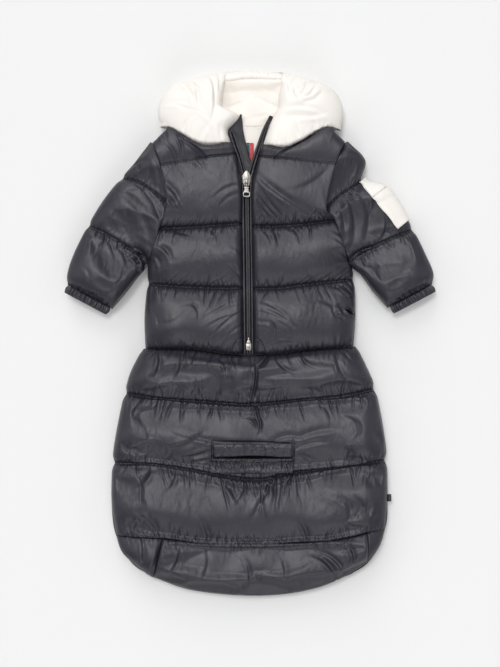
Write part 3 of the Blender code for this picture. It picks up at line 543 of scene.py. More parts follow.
        # a small trough that runs out from a sewn row, with a soft shoulder on each side
        along, across = self.along, self.across
        column = int(np.searchsorted(across[row], place))
        rows, columns = self.push.shape
        if not 1 < column < columns - 2:
            return
        reach = 2.6 * width + abs(slant) * length
        step = max(across[row, -1] / columns, 0.1)
        left, right = max(int(column - reach / step), 0), min(int(column + reach / step) + 1, columns)
        stop = row
        while 0 <= stop + side < rows and abs(along[stop + side, column] - along[row, column]) < length:
            stop += side
        low, high = min(row, stop), max(row, stop) + 1
        away = np.abs(along[low:high, left:right] - along[row, left:right][None])
        off = across[row, left:right][None] - place - slant * away
        wide = np.where(off * slant > 0, 1.3 * width, 0.6 * width) * (0.6 + 0.9 * away / length)
        hat = (1 - 1.1 * (off / wide) ** 2) * np.exp(-((off / wide) ** 2))
        fade = np.clip(1 - away / length, 0, 1) ** 1.2 * np.clip(0.5 + away / 3, 0, 1)
        self.push[low:high, left:right] -= depth * hat * fade

    def gather(self, row, side, spacing, lengths, depths, widths=(1.3, 2.6), lean=0.0, span=(0, 1)):
        dice = random.Random(self.seed * 100 + row * 2 + side)
        total = self.across[row, -1]
        place = span[0] * total + dice.uniform(0.3, 1) * spacing
        while place < span[1] * total:
            strong = dice.random() ** 1.6
            length = lengths[0] + (lengths[1] - lengths[0]) * strong
            depth = depths[0] + (depths[1] - depths[0]) * (0.6 * strong + 0.4 * dice.random())
            width = dice.uniform(*widths)
            self.pucker(row, side, place, length, width, depth, lean + dice.uniform(-0.5, 0.5))
            place += spacing * dice.uniform(0.35, 1.7)

    def crease(self, x1, y1, x2, y2, bend, width, depth):
        # a trough between two places, or a ridge where depth is below 0; its left side is the softer one
        start, end = np.array([x1, y1], float), np.array([x2, y2], float)
        run = end - start
        length = np.linalg.norm(run)
        run /= length
        away = self.points[..., :2] - start
        share = (away @ run) / length
        off = away @ np.array([-run[1], run[0]]) - bend * 4 * share * (1 - share)
        wide = np.where(off > 0, 0.85 * width, 0.3 * width)
        beyond = np.maximum(np.maximum(-share, share - 1), 0) * length
        taper = 0.35 + 0.65 * np.sin(math.pi * np.clip(share, 0, 1))
        taper *= np.exp(-((beyond / (1.5 * width)) ** 2))
        lip = 0.45 * np.exp(-(((off + 0.95 * width) / (0.5 * width)) ** 2))
        self.push -= 1.3 * depth * (np.exp(-((off / wide) ** 2)) - lip) * taper

    def crumple(self, size, depth, stretch, seed):
        # thin irregular creases in patches, longer along the garment than across it
        x, y = self.points[..., 0], self.points[..., 1]
        bent = x + 0.25 * size * uneven(x, y, 1.6 * size, seed + 1)
        height = uneven(bent, y / stretch, size, seed)
        thin = np.clip(1 - np.abs(height) / 0.24, 0, 1)
        patches = np.clip(0.35 + 0.7 * uneven(x, y, 80, seed + 2), 0, 1)
        self.push -= depth * thin * thin * (3 - 2 * thin) * patches
        self.push += 0.5 * depth * uneven(x, y, 0.9 * size, seed + 3) * patches

    def sinkSeams(self, depth, above, below):
        # a valley along each sewn line, wider on the side that faces the foot, with a fine groove in it
        for row, draws in list(zip(self.stitched, self.draws))[1:-1]:
            away = self.along - self.along[row][None]
            wide = np.where((away > 0) == self.headFirst, below, above)
            self.push -= depth * draws * np.exp(-((away / wide) ** 2)) + 2.4 * np.exp(-((away / 0.8) ** 2))

    def dipEdges(self, edges, depth=1.1, width=2.0):
        # the cloth draws in beside a seam: left, right, start, end
        fromLeft, fromStart = self.across, self.along
        distances = fromLeft, fromLeft[:, -1:] - fromLeft, fromStart, fromStart[-1:] - fromStart
        for wanted, distance in zip(edges, distances):
            self.push -= wanted * depth * np.exp(-((distance / width) ** 2))

    def build(self, finish, slot, node):
        lean = normalsOf(self.points) * self.facing + np.array((0, 0, 1.6 * self.facing))
        lean /= np.linalg.norm(lean, axis=2, keepdims=True)
        points = self.points + lean * self.push[..., None]
        seam = garment["seamHeight"] + 0.15 * self.facing
        if self.facing > 0:
            points[..., 2] = np.maximum(points[..., 2], seam + 0.5)
        else:
            points[..., 2] = np.clip(points[..., 2], 0.15, seam - 0.5)
        self.skin = points
        rows, columns = points.shape[:2]
        edge = borderOf(rows, columns)
        after = np.arange(1, len(edge) + 1) % len(edge)
        flat = points.reshape(-1, 3)
        rim = flat[edge].copy()
        rim[:, 2] = seam
        count = rows * columns
        ring = count + np.arange(len(edge))
        skirt = np.stack([edge, ring, ring[after], edge[after]], axis=-1)
        faces = [*gridFaces(rows, columns), *skirt, ring]
        places = np.stack([running(points, 1), running(points, 0)], axis=-1).reshape(-1, 2)
        rims = np.zeros(count + len(edge), int)
        rims[edge], rims[ring] = 1, 2
        points = np.concatenate([flat, rim])
        made = meshObject(self.name, points, faces, np.concatenate([places, places[edge]]), sharp=rims)
        faceOutwards(made)
        self.made = settle(made, slot, finish, node)


class Value:
    # a socket of a shader tree; sums and products of sockets add its Math nodes
    def __init__(self, tree, socket):
        self.tree, self.socket = tree, socket

    def worked(self, operation, other, swapped=False):
        node = self.tree.nodes.new("ShaderNodeMath")
        node.operation = operation
        for place, item in zip((1, 0) if swapped else (0, 1), (self, other)):
            if isinstance(item, Value):
                self.tree.links.new(item.socket, node.inputs[place])
            else:
                node.inputs[place].default_value = item
        return Value(self.tree, node.outputs[0])

    def __add__(self, other):
        return self.worked("ADD", other)

    def __radd__(self, other):
        return self.worked("ADD", other, True)

    def __sub__(self, other):
        return self.worked("SUBTRACT", other)

    def __rsub__(self, other):
        return self.worked("SUBTRACT", other, True)

    def __mul__(self, other):
        return self.worked("MULTIPLY", other)

    def __rmul__(self, other):
        return self.worked("MULTIPLY", other, True)


class Finish:
    # a material whose shader starts with values that are the same all over
    def __init__(self, name, **values):
        self.material = bpy.data.materials.new(name)
        self.material.use_nodes = True
        self.tree = self.material.node_tree
        self.shader = self.tree.nodes["Principled BSDF"]
        for socket, value in values.items():
            self.shader.inputs[socket.replace("_", " ")].default_value = value

    def add(self, kind, settings=None, sockets=None, output=0):
        node = self.tree.nodes.new("ShaderNode" + kind)
        for key, value in (settings or {}).items():
            setattr(node, key, value)
        for key, value in (sockets or {}).items():
            if isinstance(value, Value):
                self.tree.links.new(value.socket, node.inputs[key])
            else:
                node.inputs[key].default_value = value
        return Value(self.tree, node.outputs[output])

    def feed(self, socket, value):
        self.tree.links.new(value.socket, self.shader.inputs[socket])

    def objectPlace(self):
        return self.add("TexCoord", output="Object")

    def noise(self, place, scale, detail=2.0, roughness=0.5):
        sockets = {"Vector": place, "Scale": scale, "Detail": detail, "Roughness": roughness}
        return self.add("TexNoise", None, sockets)

    def mixed(self, share, first, second):
        return self.add("Mix", {"data_type": "RGBA"}, {0: share, 6: (*first, 1), 7: (*second, 1)}, 2)

    def bump(self, height, strength, distance):
        normal = self.add("Bump", None, {"Height": height, "Strength": strength, "Distance": distance})
        self.feed("Normal", normal)


def wovenHeight(finish, pitch):
    # plain weave: threads that pass over and under each other, along the cloth's own coordinates
    place = finish.add("UVMap", {"uv_map": "cloth"})
    waves = []
    for axis in (0, 1):
        turns = finish.add("SeparateXYZ", None, {"Vector": place}, axis) * (math.tau / pitch)
        waves.append(turns.worked("SINE", 0.0))
    return waves[0] * waves[1]


# Scales of the noises that every cloth has.
clothGrain = {
    "patches": 14,  # of colour
    "gloss": 45,
    "creases": 62,
    "softCrinkles": 115,
    "sharpCrinkles": 330,
    "stretch": (1.0, 0.45, 1.0),  # creases and crinkles are longer along the garment
}


def nylon(name, dark, light, roughness, weave, crinkle, shine=0.5):
    # weave is the pitch of the threads, in metres
    finish = Finish(name, Roughness=roughness, Specular_IOR_Level=shine)
    place = finish.objectPlace()
    patches = finish.noise(place, clothGrain["patches"], 3)
    finish.feed("Base Color", finish.mixed(patches * 1.6 - 0.3, dark, light))
    finish.feed("Roughness", finish.noise(place, clothGrain["gloss"], 2) * 0.14 + (roughness - 0.07))
    stretched = finish.add("Mapping", None, {"Vector": place, "Scale": clothGrain["stretch"]})
    soft = finish.noise(stretched, clothGrain["softCrinkles"], 1.5, 0.42)
    sharp = finish.noise(place, clothGrain["sharpCrinkles"], 1, 0.4)
    # thin creases, in patches, where a broad noise passes its middle value
    apart = (finish.noise(stretched, clothGrain["creases"], 1, 0.45) - 0.5).worked("ABSOLUTE", 0.0)
    creased = 1.0 - (apart * 16).worked("MINIMUM", 1.0)
    patchy = (patches * 4 - 1.6).worked("MAXIMUM", 0.0)
    height = soft * (0.8 * crinkle) + sharp * (0.17 * crinkle)
    height = height + wovenHeight(finish, weave) * (0.004 * crinkle)
    height = height - creased * creased * patchy * (0.08 * crinkle)
    finish.bump(height, 0.85, 0.0009)
    return finish.material


# Each cloth: name, darkest and lightest colour, roughness, weave, crinkle, shine.
charcoalNylon = nylon("charcoalNylon", (0.0180, 0.0168, 0.0250), (0.0255, 0.0238, 0.0350), 0.46, 0.0007, 1.0)
plainCharcoal = nylon("plainCharcoal", (0.0190, 0.0180, 0.0260), (0.0260, 0.0245, 0.0350), 0.5, 0.0009, 0.7)
# a near-black, nearly matt cloth, laid in grooves, slits and mouths as painted shade
blackCloth = nylon("blackCloth", (0.0014, 0.0013, 0.0018), (0.0024, 0.0023, 0.0030), 0.95, 0.0011, 0.4, 0.1)
coatedTape = nylon("coatedTape", (0.030, 0.029, 0.036), (0.042, 0.040, 0.050), 0.42, 0.0011, 0.5)
creamNylon = nylon("creamNylon", (0.865, 0.825, 0.780), (0.895, 0.860, 0.820), 0.55, 0.0007, 0.6)
creamLining = nylon("creamLining", (0.850, 0.805, 0.745), (0.890, 0.850, 0.800), 0.62, 0.0009, 0.8)
slateLabel = nylon("slateLabel", (0.022, 0.075, 0.090), (0.040, 0.125, 0.145), 0.7, 0.0012, 1.0)
redRibbon = nylon("redRibbon", (0.48, 0.035, 0.045), (0.66, 0.055, 0.065), 0.6, 0.0012, 1.0)


def sewingThread(name, colour):
    finish = Finish(name, Roughness=0.8, Specular_IOR_Level=0.15)
    place = finish.objectPlace()
    finish.feed("Base Color", finish.mixed(finish.noise(place, 900), colour, tuple(1.5 * c for c in colour)))
    finish.bump(finish.noise(place, 2600), 0.4, 0.0002)
    return finish.material


# near-black thread: real stitching, and along the quilted rows also a thick cord of painted shade in each
# seam's groove
threadAndSeamShade = sewingThread("threadAndSeamShade", (0.004, 0.004, 0.006))
creamThread = sewingThread("creamThread", (0.58, 0.53, 0.46))


def nickelPlate():
    finish = Finish("nickelPlate", Metallic=1.0, Roughness=0.24)
    place = finish.objectPlace()
    worn = finish.noise(place, 420, 4, 0.6)
    finish.feed("Base Color", finish.mixed(worn, (0.15, 0.14, 0.13), (0.36, 0.345, 0.32)))
    finish.feed("Roughness", worn * 0.25 + 0.24)
    finish.bump(finish.noise(place, 1500, 3), 0.25, 0.0002)
    return finish.material


nickel = nickelPlate()
report("finishes mixed")


def pieceName(node):
    first, *others = node.split("_")
    return first + "".join(word.capitalize() for word in others)


# Each wall: node, lines, puff, edges (left, right, start, end), spare cloth (across, along), and the share of
# its puff that it keeps at each sewn line.
frontWalls = [
    ("jacket_front_left", leftFrontLines, 31, (jacketArm, zipFall, openEdge, neckFall), (0.07, 0.06),
     (0.43, 0.43, 0.48, 0.86, 0.78)),
    ("jacket_front_right", rightFrontLines, 31, (zipFall, jacketArm, openEdge, neckFall), (0.07, 0.06),
     (0.43, 0.43, 0.48, 0.86, 0.78)),
    ("sleeve_left_front", leftSleeveLines, 25, (sideRoll, underarm, seamFall, wristFall), (0.05, 0.04),
     (0.43, 0.66, 0.43, 0.43)),
    ("sleeve_right_front", rightSleeveLines, 25, (underarm, sideRoll, seamFall, wristFall), (0.05, 0.04),
     (0.43, 0.66, 0.43, 0.43)),
    ("hood_left", leftHoodLines, 33, (sideRoll, hoodMouth, hoodFall, sideRoll), (0.10, 0.08), (0.8, 0.8)),
    ("hood_right", rightHoodLines, 33, (hoodMouth, sideRoll, hoodFall, sideRoll), (0.10, 0.08), (0.8, 0.8)),
    ("hood_centre", hoodCentreLines, 24, (openEdge, openEdge, (0.25, 12), sideRoll), (0.16, 0.03),
     (0.8, 0.8)),
    ("bag_front", bagFrontLines, 32, (sideRoll, sideRoll, waistFall, openEdge), (0.09, 0.05),
     (0.55, 0.43, 0.43, 0.6)),
    ("bag_bottom", bagBottomLines, 28, (gussetFall, gussetFall, openEdge, footRoll), (0.07, 0.04),
     (0.69, 0.5)),
    ("bag_gusset_left", leftGussetLines, 26, (sideRoll, gussetFall, openEdge, softFall), (0.10, 0.06),
     (0.74, 0.5)),
    ("bag_gusset_right", rightGussetLines, 24, (gussetFall, sideRoll, openEdge, softFall), (0.10, 0.06),
     (0.8, 0.5)),
]
backWalls = [
    ("jacket_back", jacketBackLines, 31, (sideRoll, sideRoll, openEdge, openEdge)),
    ("sleeve_left_back", leftSleeveLines, 25, (sideRoll, underarm, seamFall, softFall)),
    ("sleeve_right_back", rightSleeveLines, 25, (underarm, sideRoll, seamFall, softFall)),
    ("hood_back", hoodBackLines, 33, (sideRoll, sideRoll, openEdge, sideRoll)),
    ("bag_back", bagBackLines, 32, (sideRoll, sideRoll, openEdge, sideRoll)),
]
walls = {node: Wall(pieceName(node), *way, seed=seed) for seed, (node, *way) in enumerate(frontWalls, 1)}
backs = {
    node: Wall(pieceName(node), *way, facing=-1, seed=seed, steps=(garment["backStep"], garment["backStep"]))
    for seed, (node, *way) in enumerate(backWalls, 21)
}
report("cloth cut")

for wall in walls.values():
    wall.prepare()
for number in range(1, blowing["frames"] + 1):
    bpy.context.scene.frame_set(number)
for wall in walls.values():
    wall.collect()
bpy.context.scene.frame_set(1)
report("cloth blown up")

for wall in [*walls.values(), *backs.values()]:
    wall.refine()

# Large folds of each front, as the cloth lies: x1, y1, x2, y2, bend, width, depth (below 0 for a ridge).
creases = {
    "jacket_front_left": [
        (-98, 273, -64, 244, 2, 2.4, 3.4), (-116, 262, -104, 240, 2, 4, 1.2),
        (-122, 210, -99, 184, 3, 6, 1.6), (-117, 187, -106, 177, 1, 4, 1.8),
        (-108, 178, -96, 172, 2, 4, -1.0), (-16, 207, -48, 193, -3, 4, 0.8),
        (-16, 195, -41, 181, -3, 4, 0.8), (-100, 270, -95, 254, 1, 3, 1.6), (-84, 246, -66, 232, 2, 5, 0.9),
        (-110, 144, -82, 137, 0, 9, 2.0), (-54, 142, -47, 133, 1, 4, 1.2),
        (-126, 122, -112, 108, 2, 5, 2.0), (-134, 108, -126, 92, 2, 4, 1.6), (-34, 95, -12, 74, 2, 4, 1.6),
        (-22, 118, -12, 106, 1, 4, 1.0), (-84, 41, -74, 33, 2, 5, 1.4), (-12, 44, -60, 26, -3, 3, 0.8),
        (-12, 50, -44, 36, -2, 2.6, 0.7), (-12, 32, -53, -2, -3, 3, 0.8), (-20, 27, -57, 13, -2, 2.6, 0.8),
        (-11, 14, -40, -10, -2, 2.6, 0.8), (-138, 34, -128, 6, 3, 8, 0.8), (-100, 22, -126, 16, 3, 6, 0.5),
    ],
    "jacket_front_right": [
        (91, 279, 34, 245, -2, 2.4, 3.4), (8, 220, 99, 160, -5, 6, 1.5), (7, 209, 48, 157, -3, 3.5, 1.4),
        (7, 199, 36, 160, -3, 3, 1.3), (7, 188, 26, 160, -2, 3, 1.0), (31, 142, 37, 128, 1, 5, 1.5),
        (56, 146, 65, 137, 1, 6, 1.8), (18, 142, 26, 132, 1, 4, 1.0), (118, 140, 136, 122, 2, 4, 1.6),
        (122, 128, 138, 104, 3, 4, 1.5), (128, 110, 140, 92, 2, 4, 1.2), (7, 46, 52, 22, 4, 3.6, 1.0),
        (8, 34, 60, 10, 4, 3.6, 0.8), (10, 17, 27, 13, 1, 3, 1.1), (27, 15, 33, 2, 1, 3, 1.4),
        (26, -14, 62, -9, 2, 3, -1.0), (112, 66, 140, 52, 3, 5, 1.4), (118, 40, 128, 26, 3, 5, 1.4),
        (124, 36, 142, 24, -2, 4, 1.8), (96, 46, 116, 33, 3, 6, 1.0), (104, 226, 60, 200, 4, 8, 0.8),
        (131, 35, 144, 27, 1, 4.0, 6.5), (113, 31, 122, 22, -2, 3, 1.6), (116, 35, 130, 38, 2, 3, 1.6),
        (121, 24, 133, 20, -2, 3, 1.8), (123, 31, 131, 27, 1, 2.6, 1.8), (124, 67, 143, 48, 1, 2.4, 2.2),
    ],
    "sleeve_left_front": [
        (-152, 203, -124, 144, 6, 8, 1.1), (-176, 192, -142, 132, 7, 9, 0.9),
        (-196, 176, -172, 134, 4, 8, 0.6), (-166, 120, -147, 106, 2, 6, 5.0),
        (-160, 113, -146, 92, 3, 6, 4.0), (-171, 112, -158, 94, 3, 4, 3.0),
        (-152, 100, -147, 88, 1, 5, 4.0), (-163, 112, -145, 100, 2, 2.6, 5.0),
        (-157, 105, -146, 94, 2, 2.4, 4.5), (-167, 105, -153, 93, 2, 2.4, 4.0),
        (-204, 132, -190, 111, 2, 4, 1.3), (-188, 124, -172, 96, 3, 5, 1.6),
        (-224, 132, -216, 112, 2, 5, 0.6), (-176, 92, -184, 72, 2, 4, 0.8), (-232, 92, -224, 76, 2, 5, 0.5),
        (-132, 236, -128, 206, 2, 6, 0.8), (-165, 233, -148, 241, 1, 3, 2.0),
        (-160, 237, -156, 228, 1, 3, 1.6),
    ],
    "sleeve_right_front": [
        (139, 105, 168, 121, 1, 4, 6.0), (131, 194, 141, 132, 6, 7, 2.0), (154, 188, 161, 143, 5, 7, 1.8),
        (170, 200, 165, 165, 3, 5, 1.2), (188, 158, 181, 133, 3, 4, 1.8), (124, 172, 128, 140, 2, 5, 1.4),
        (150, 208, 146, 194, 1, 4, 1.2), (176, 92, 214, 96, 3, 5, 0.7), (190, 76, 216, 84, 2, 4, 0.6),
        (152, 106, 158, 96, 1, 3, 1.6),
    ],
    "bag_front": [
        (-127, -29, -130, -52, 2, 5, 2.4), (-43, -36, -34, -52, 2, 4, 1.6), (-27, -37, -36, -50, 1, 4, 1.4),
        (23, -29, 7, -47, 3, 3.4, 4.4), (7, -47, 1, -92, 2, 3.2, 4.6), (36, -37, 55, -52, -2, 4, 1.8),
        (69, -30, 83, -44, -2, 4, 1.8), (-96, -30, -104, -60, 3, 6, 1.4), (118, -30, 132, -62, -3, 6, 1.6),
        (-70, -92, -74, -66, 2, 5, 1.2), (2, -98, 9, -112, 2, 3.0, 4.0), (9, -112, 12, -134, 2, 2.8, 4.0),
        (-2, -118, 8, -128, 2, 2.8, 3.0), (-101, -138, 10, -150, -5, 5, 1.5),
        (30, -150, 66, -142, 4, 6, 1.8), (-72, -142, -114, -160, 3, 7, 1.6),
        (62, -146, 113, -132, 3, 7, 1.6), (-104, -188, -112, -214, 3, 5, 1.8),
        (-43, -204, -22, -226, 2, 5, 1.8), (-8, -206, -16, -230, 2, 4, 1.8),
        (24, -203, 34, -226, 2, 5, 1.8), (-136, -184, -152, -210, 3, 6, 1.8),
        (130, -232, 137, -250, 3, 7, 1.6), (-150, -250, -128, -276, 3, 6, 1.4),
        (70, -262, 78, -286, 2, 5, 1.4), (-66, -262, -60, -288, 2, 5, 1.4), (98, -98, 110, -120, 3, 6, 0.7),
        (-112, -96, -126, -118, 3, 6, 0.7), (-58, -151, 58, -153.5, 1, 2.6, 3.4),
        (-53.5, -150, -54.5, -178, 0, 2, 2.2), (58, -151, 58, -180, 0, 2, 2.2),
        (-50, -171, 55, -171, 0, 2.6, 5.0), (-54, -160, -92, -171, 2, 5, 2.0),
        (-54, -172, -84, -178, 1, 4, 1.8), (60, -160, 96, -150, 2, 6, 2.0), (60, -170, 88, -176, 2, 5, 1.6),
    ],
    "bag_bottom": [
        (92, -309, 118, -340, 5, 5, 2.6), (100, -304, 128, -330, 4, 4, 1.8),
        (136, -294, 142, -318, 3, 4, 2.2), (-6, -318, -2, -346, 2, 4, 1.2),
        (-60, -310, -66, -336, 2, 5, 0.8), (-98, -300, -110, -330, 2, 4, 1.4),
        (44, -314, 47, -338, 2, 5, 0.8),
    ],
    "bag_gusset_left": [
        (-127, -288, -141, -334, 3, 5, 2.0), (-150, -290, -152, -322, 2, 5, 1.8),
    ],
    "hood_left": [
        (-99, 352, -62, 336, 4, 6, 1.8), (-110, 334, -70, 318, 4, 8, 1.6), (-92, 276, -86, 296, 2, 5, 1.4),
        (-70, 264, -62, 286, 2, 6, 1.2), (-40, 266, -42, 284, 1, 5, 1.0), (-60, 358, -50, 340, 2, 4, 1.6),
        (-104, 346, -84, 326, 5, 4, 1.8), (-96, 350, -76, 332, 4, 3.5, 1.8),
        (-86, 354, -70, 338, 3, 3.5, 1.8), (-77, 344, -73, 322, 1, 4, 2.6), (-54, 352, -52, 304, 3, 5, 2.6),
        (-106, 322, -66, 310, 3, 4, 1.6), (-72, 308, -50, 284, 3, 4, 1.4), (-118, 318, -96, 314, 2, 4, 1.2),
        (-46, 360, -44, 340, 1, 3, 1.8),
    ],
    "hood_right": [
        (98, 350, 60, 334, -4, 6, 1.8), (110, 334, 72, 318, -4, 8, 1.4), (90, 278, 84, 298, -2, 5, 1.4),
        (66, 266, 60, 288, -2, 6, 1.2), (40, 262, 42, 280, 1, 5, 1.0), (62, 356, 54, 338, -2, 4, 1.6),
        (76, 346, 66, 330, 2, 3.5, 2.0), (88, 342, 72, 328, 3, 3.5, 2.0), (60, 342, 66, 326, -2, 3.5, 2.0),
        (96, 334, 76, 322, 3, 4, 1.8), (56, 314, 92, 309, 2, 5, 1.6), (62, 300, 100, 304, -2, 5, 1.2),
        (50, 352, 52, 330, 1, 4, 1.6),
    ],
}
for node, rows in creases.items():
    for row in rows:
        walls[node].crease(*row)

# How each piece is gathered into its sewn rows: spacing, lengths, depths. On the side of a row that faces the
# head the gathers are shorter and not so deep.
gathers = {
    "jacket_front_left": (8, (8, 34), (0.8, 3.4)),
    "jacket_front_right": (8, (8, 34), (0.8, 3.4)),
    "sleeve_left_front": (7, (5, 22), (0.8, 2.8)),
    "sleeve_right_front": (8, (5, 18), (0.6, 2.4)),
    "hood_left": (8, (6, 24), (0.5, 1.8)),
    "hood_right": (8, (6, 24), (0.5, 1.8)),
    "hood_centre": (6, (6, 14), (0.8, 2.2)),
    "bag_front": (7.5, (8, 40), (0.8, 3.8)),
    "bag_bottom": (15, (12, 46), (1.0, 4.4)),
    "bag_gusset_left": (8, (10, 30), (0.7, 2.6)),
    "bag_gusset_right": (8, (10, 30), (0.7, 2.6)),
}
footNodes = ("bag_bottom", "bag_gusset_left", "bag_gusset_right")
for node, (spacing, lengths, depths) in gathers.items():
    wall = walls[node]
    for row, draws in zip(wall.stitched, wall.draws):
        plain = "sleeve" in node if row == 0 else node in footNodes
        if plain:
            continue
        for side in (-1, 1):
            towardsFoot = (side > 0) == wall.headFirst
            share = (1.0 if towardsFoot else 0.7) * draws
            wall.gather(row, side, spacing, (lengths[0] * share, lengths[1] * share),
                        (depths[0] * share, depths[1] * share), (1.9, 4.0))
            if "hood" not in node:
                fine = 12 if row == 0 and node == "bag_front" else 3.6
                wall.gather(row, side, fine, (4, 15), (0.8 * draws, 2.4 * draws), (1.0, 1.8))
# Further gathers where the cloth is fuller: node, line, side, spacing, lengths, depths, widths, lean, span.
fuller = [
    ("bag_front", 2, 1, 8, (18, 62), (2.0, 5.0), (2.2, 4.6), 0.0, (0.34, 0.72)),
    ("bag_front", 2, 1, 6, (8, 22), (1.4, 3.4), (1.6, 2.8), 0.0, (0.2, 0.85)),
    ("bag_front", 1, -1, 6.5, (8, 26), (1.2, 3.4), (1.6, 3.0), 0.3, (0.28, 0.66)),
    ("bag_front", 1, 1, 6.5, (8, 24), (1.2, 3.2), (1.6, 3.0), -0.2, (0.28, 0.72)),
    ("bag_front", 3, -1, 7, (8, 26), (0.8, 2.6), (1.6, 3.0), 0.2, (0.1, 0.9)),
    ("jacket_front_right", 1, -1, 6, (14, 30), (1.2, 2.6), (1.4, 2.4), 1.9, (0.35, 0.95)),
    ("jacket_front_right", 2, -1, 7, (10, 26), (0.8, 2.4), (1.6, 2.8), 0.6, (0.05, 0.9)),
    ("jacket_front_right", 2, 1, 6, (6, 14), (0.8, 2.0), (1.4, 2.2), -0.5, (0.1, 0.95)),
    ("jacket_front_left", 1, -1, 6, (10, 26), (1.0, 2.6), (1.4, 2.6), 0.9, (0.15, 0.8)),
    ("jacket_front_left", 2, 1, 6, (6, 14), (0.8, 2.0), (1.4, 2.2), 0.4, (0.1, 0.95)),
    ("sleeve_left_front", 2, 1, 6, (8, 22), (1.0, 3.0), (1.5, 2.6), 0.5, (0.2, 0.95)),
    ("sleeve_right_front", 2, 1, 7, (5, 14), (0.8, 2.2), (1.4, 2.4), -0.5, (0.05, 0.6)),
    ("sleeve_left_front", 3, -1, 6.5, (6, 18), (1.4, 3.2), (1.6, 2.8), 0.3, (0.05, 0.95)),
    ("sleeve_right_front", 3, -1, 6.5, (5, 14), (1.2, 3.0), (1.6, 2.8), -0.3, (0.05, 0.95)),
    ("sleeve_left_front", 1, -1, 5.5, (5, 16), (1.0, 3.0), (1.2, 2.2), 0.2, (0.0, 0.5)),
    ("sleeve_right_front", 1, 1, 6, (5, 14), (0.8, 2.4), (1.2, 2.2), 0.2, (0.3, 1.0)),
]
for node, line, side, *way in fuller:
    wall = walls[node]
    wall.seed += 40
    wall.gather(wall.stitched[line], side if wall.headFirst else -side, *way)

surface = {
    "bagValley": (2.2, 3.0, 8.0),  # along a sewn line: its depth, and its width above and below the line
    "otherValley": (0.7, 2.5, 5.0),
    "crumples": [(26, 0.25, 2.0, 300), (12, 0.22, 1.3, 500)],  # size, depth, stretch, seed
    "bagDips": (0.3, 0.3, 0.6, 0.5),  # how much the cloth draws in at each edge
    "otherDips": (0.15, 0.15, 0.4, 0.2),
}
for number, (node, wall) in enumerate(walls.items()):
    wall.sinkSeams(*surface["bagValley" if node == "bag_front" else "otherValley"])
    if "hood" not in node:
        for *way, seed in surface["crumples"]:
            wall.crumple(*way, seed + 10 * number)
    wall.dipEdges(surface["bagDips" if "bag" in node else "otherDips"])
for wall in backs.values():
    for row in wall.stitched:
        for side in (-1, 1):
            wall.gather(row, side, 9, (6, 20), (-0.9, -0.2), (3, 5))

for node, wall in [*walls.items(), *backs.items()]:
    finish, slot = (creamNylon, "cream_shell") if "hood" in node else (charcoalNylon, "shell")
    wall.build(finish, slot, node)
    rows, columns = wall.skin.shape[:2]
    print(f"         {node}: {rows} x {columns}, top {wall.skin[..., 2].max():.1f} mm")
report("walls built")


def treeOf(*pieces):
    points, faces = [], []
    for made in pieces:
        start = len(points)
        points += [v.co / toMetres for v in made.data.vertices]
        faces += [[start + k for k in face.vertices] for face in made.data.polygons]
    return BVHTree.FromPolygons(points, faces)


def heightOn(tree, x, y):
    hit = tree.ray_cast(Vector((x, y, 200)), Vector((0, 0, -1)))[0]
    return hit.z if hit else garment["seamHeight"]


def layOn(tree, plan, rise, reach=2.0, smooth=2):
    # points over a plan that lie on the cloth below, on the highest place around each
    around = ((0, 0), (reach, 0), (-reach, 0), (0, reach), (0, -reach))
    heights = np.array([
        [max(heightOn(tree, x + a, y + b) for a, b in around) for x, y in row] for row in plan
    ])
    for _ in range(smooth):
        heights = np.maximum(heights, 0.5 * heights + 0.5 * meanAround(heights))
    return np.concatenate([plan, heights[..., None] + rise], axis=2)


def planOver(lefts, rights, ys, columns):
    # rows of points between a left and a right edge
    return np.array([[(x, y) for x in spread(a, b, columns)] for a, b, y in zip(lefts, rights, ys)])


def stitchRow(path, normal, length=2.3, gap=1.0, thick=0.36, sides=6, rise=0.0):
    # short threads laid end to end along a path of points, as rounded capsules
    steps = np.linalg.norm(np.diff(path, axis=0), axis=1)
    place = np.concatenate([[0], np.cumsum(steps)])
    starts = np.arange(gap, place[-1] - length, length + gap)
    if not len(starts):
        return [], []

    def at(values, source):
        return np.stack([np.interp(values, place, source[:, k]) for k in range(3)], axis=1)

    first, last = at(starts, path), at(starts + length, path)
    up = at(starts + length / 2, normal)
    up /= np.linalg.norm(up, axis=1, keepdims=True)
    along = last - first
    along /= np.linalg.norm(along, axis=1, keepdims=True)
    side = np.cross(along, up)
    # each ring of a thread: share of its length, of its thickness, and how high it lies
    rings = ((0.0, 0.25, -0.3), (0.12, 0.85, 0.05), (0.5, 1.0, 0.2), (0.88, 0.85, 0.05), (1.0, 0.25, -0.3))
    points = []
    for share, size, lift in rings:
        centre = first + (last - first) * share + up * (rise + lift * thick)
        for k in range(sides):
            turn = math.tau * k / sides
            points.append(centre + (side * math.cos(turn) + up * math.sin(turn)) * thick / 2 * size)
    points = np.stack(points, axis=1)
    each = []
    for r in range(len(rings) - 1):
        for k in range(sides):
            n = (k + 1) % sides
            each.append((r * sides + k, r * sides + n, (r + 1) * sides + n, (r + 1) * sides + k))
    caps = [tuple(range(sides))[::-1], tuple(range((len(rings) - 1) * sides, len(rings) * sides))]
    faces = []
    for m in range(len(starts)):
        base = m * len(rings) * sides
        faces += [tuple(base + k for k in face) for face in [*each, *caps]]
    return points.reshape(-1, 3), faces


def stitchPiece(name, paths, finish, slot, **way):
    points, faces = [], []
    for path, normal in paths:
        found, used = stitchRow(path, normal, **way)
        faces += [tuple(len(points) + k for k in face) for face in used]
        points += list(found)
    made = meshObject(name, np.array(points), faces)
    faceOutwards(made)
    return settle(made, slot, finish)


def facingUp(path):
    return path, np.tile((0, 0, 1.0), (len(path), 1))


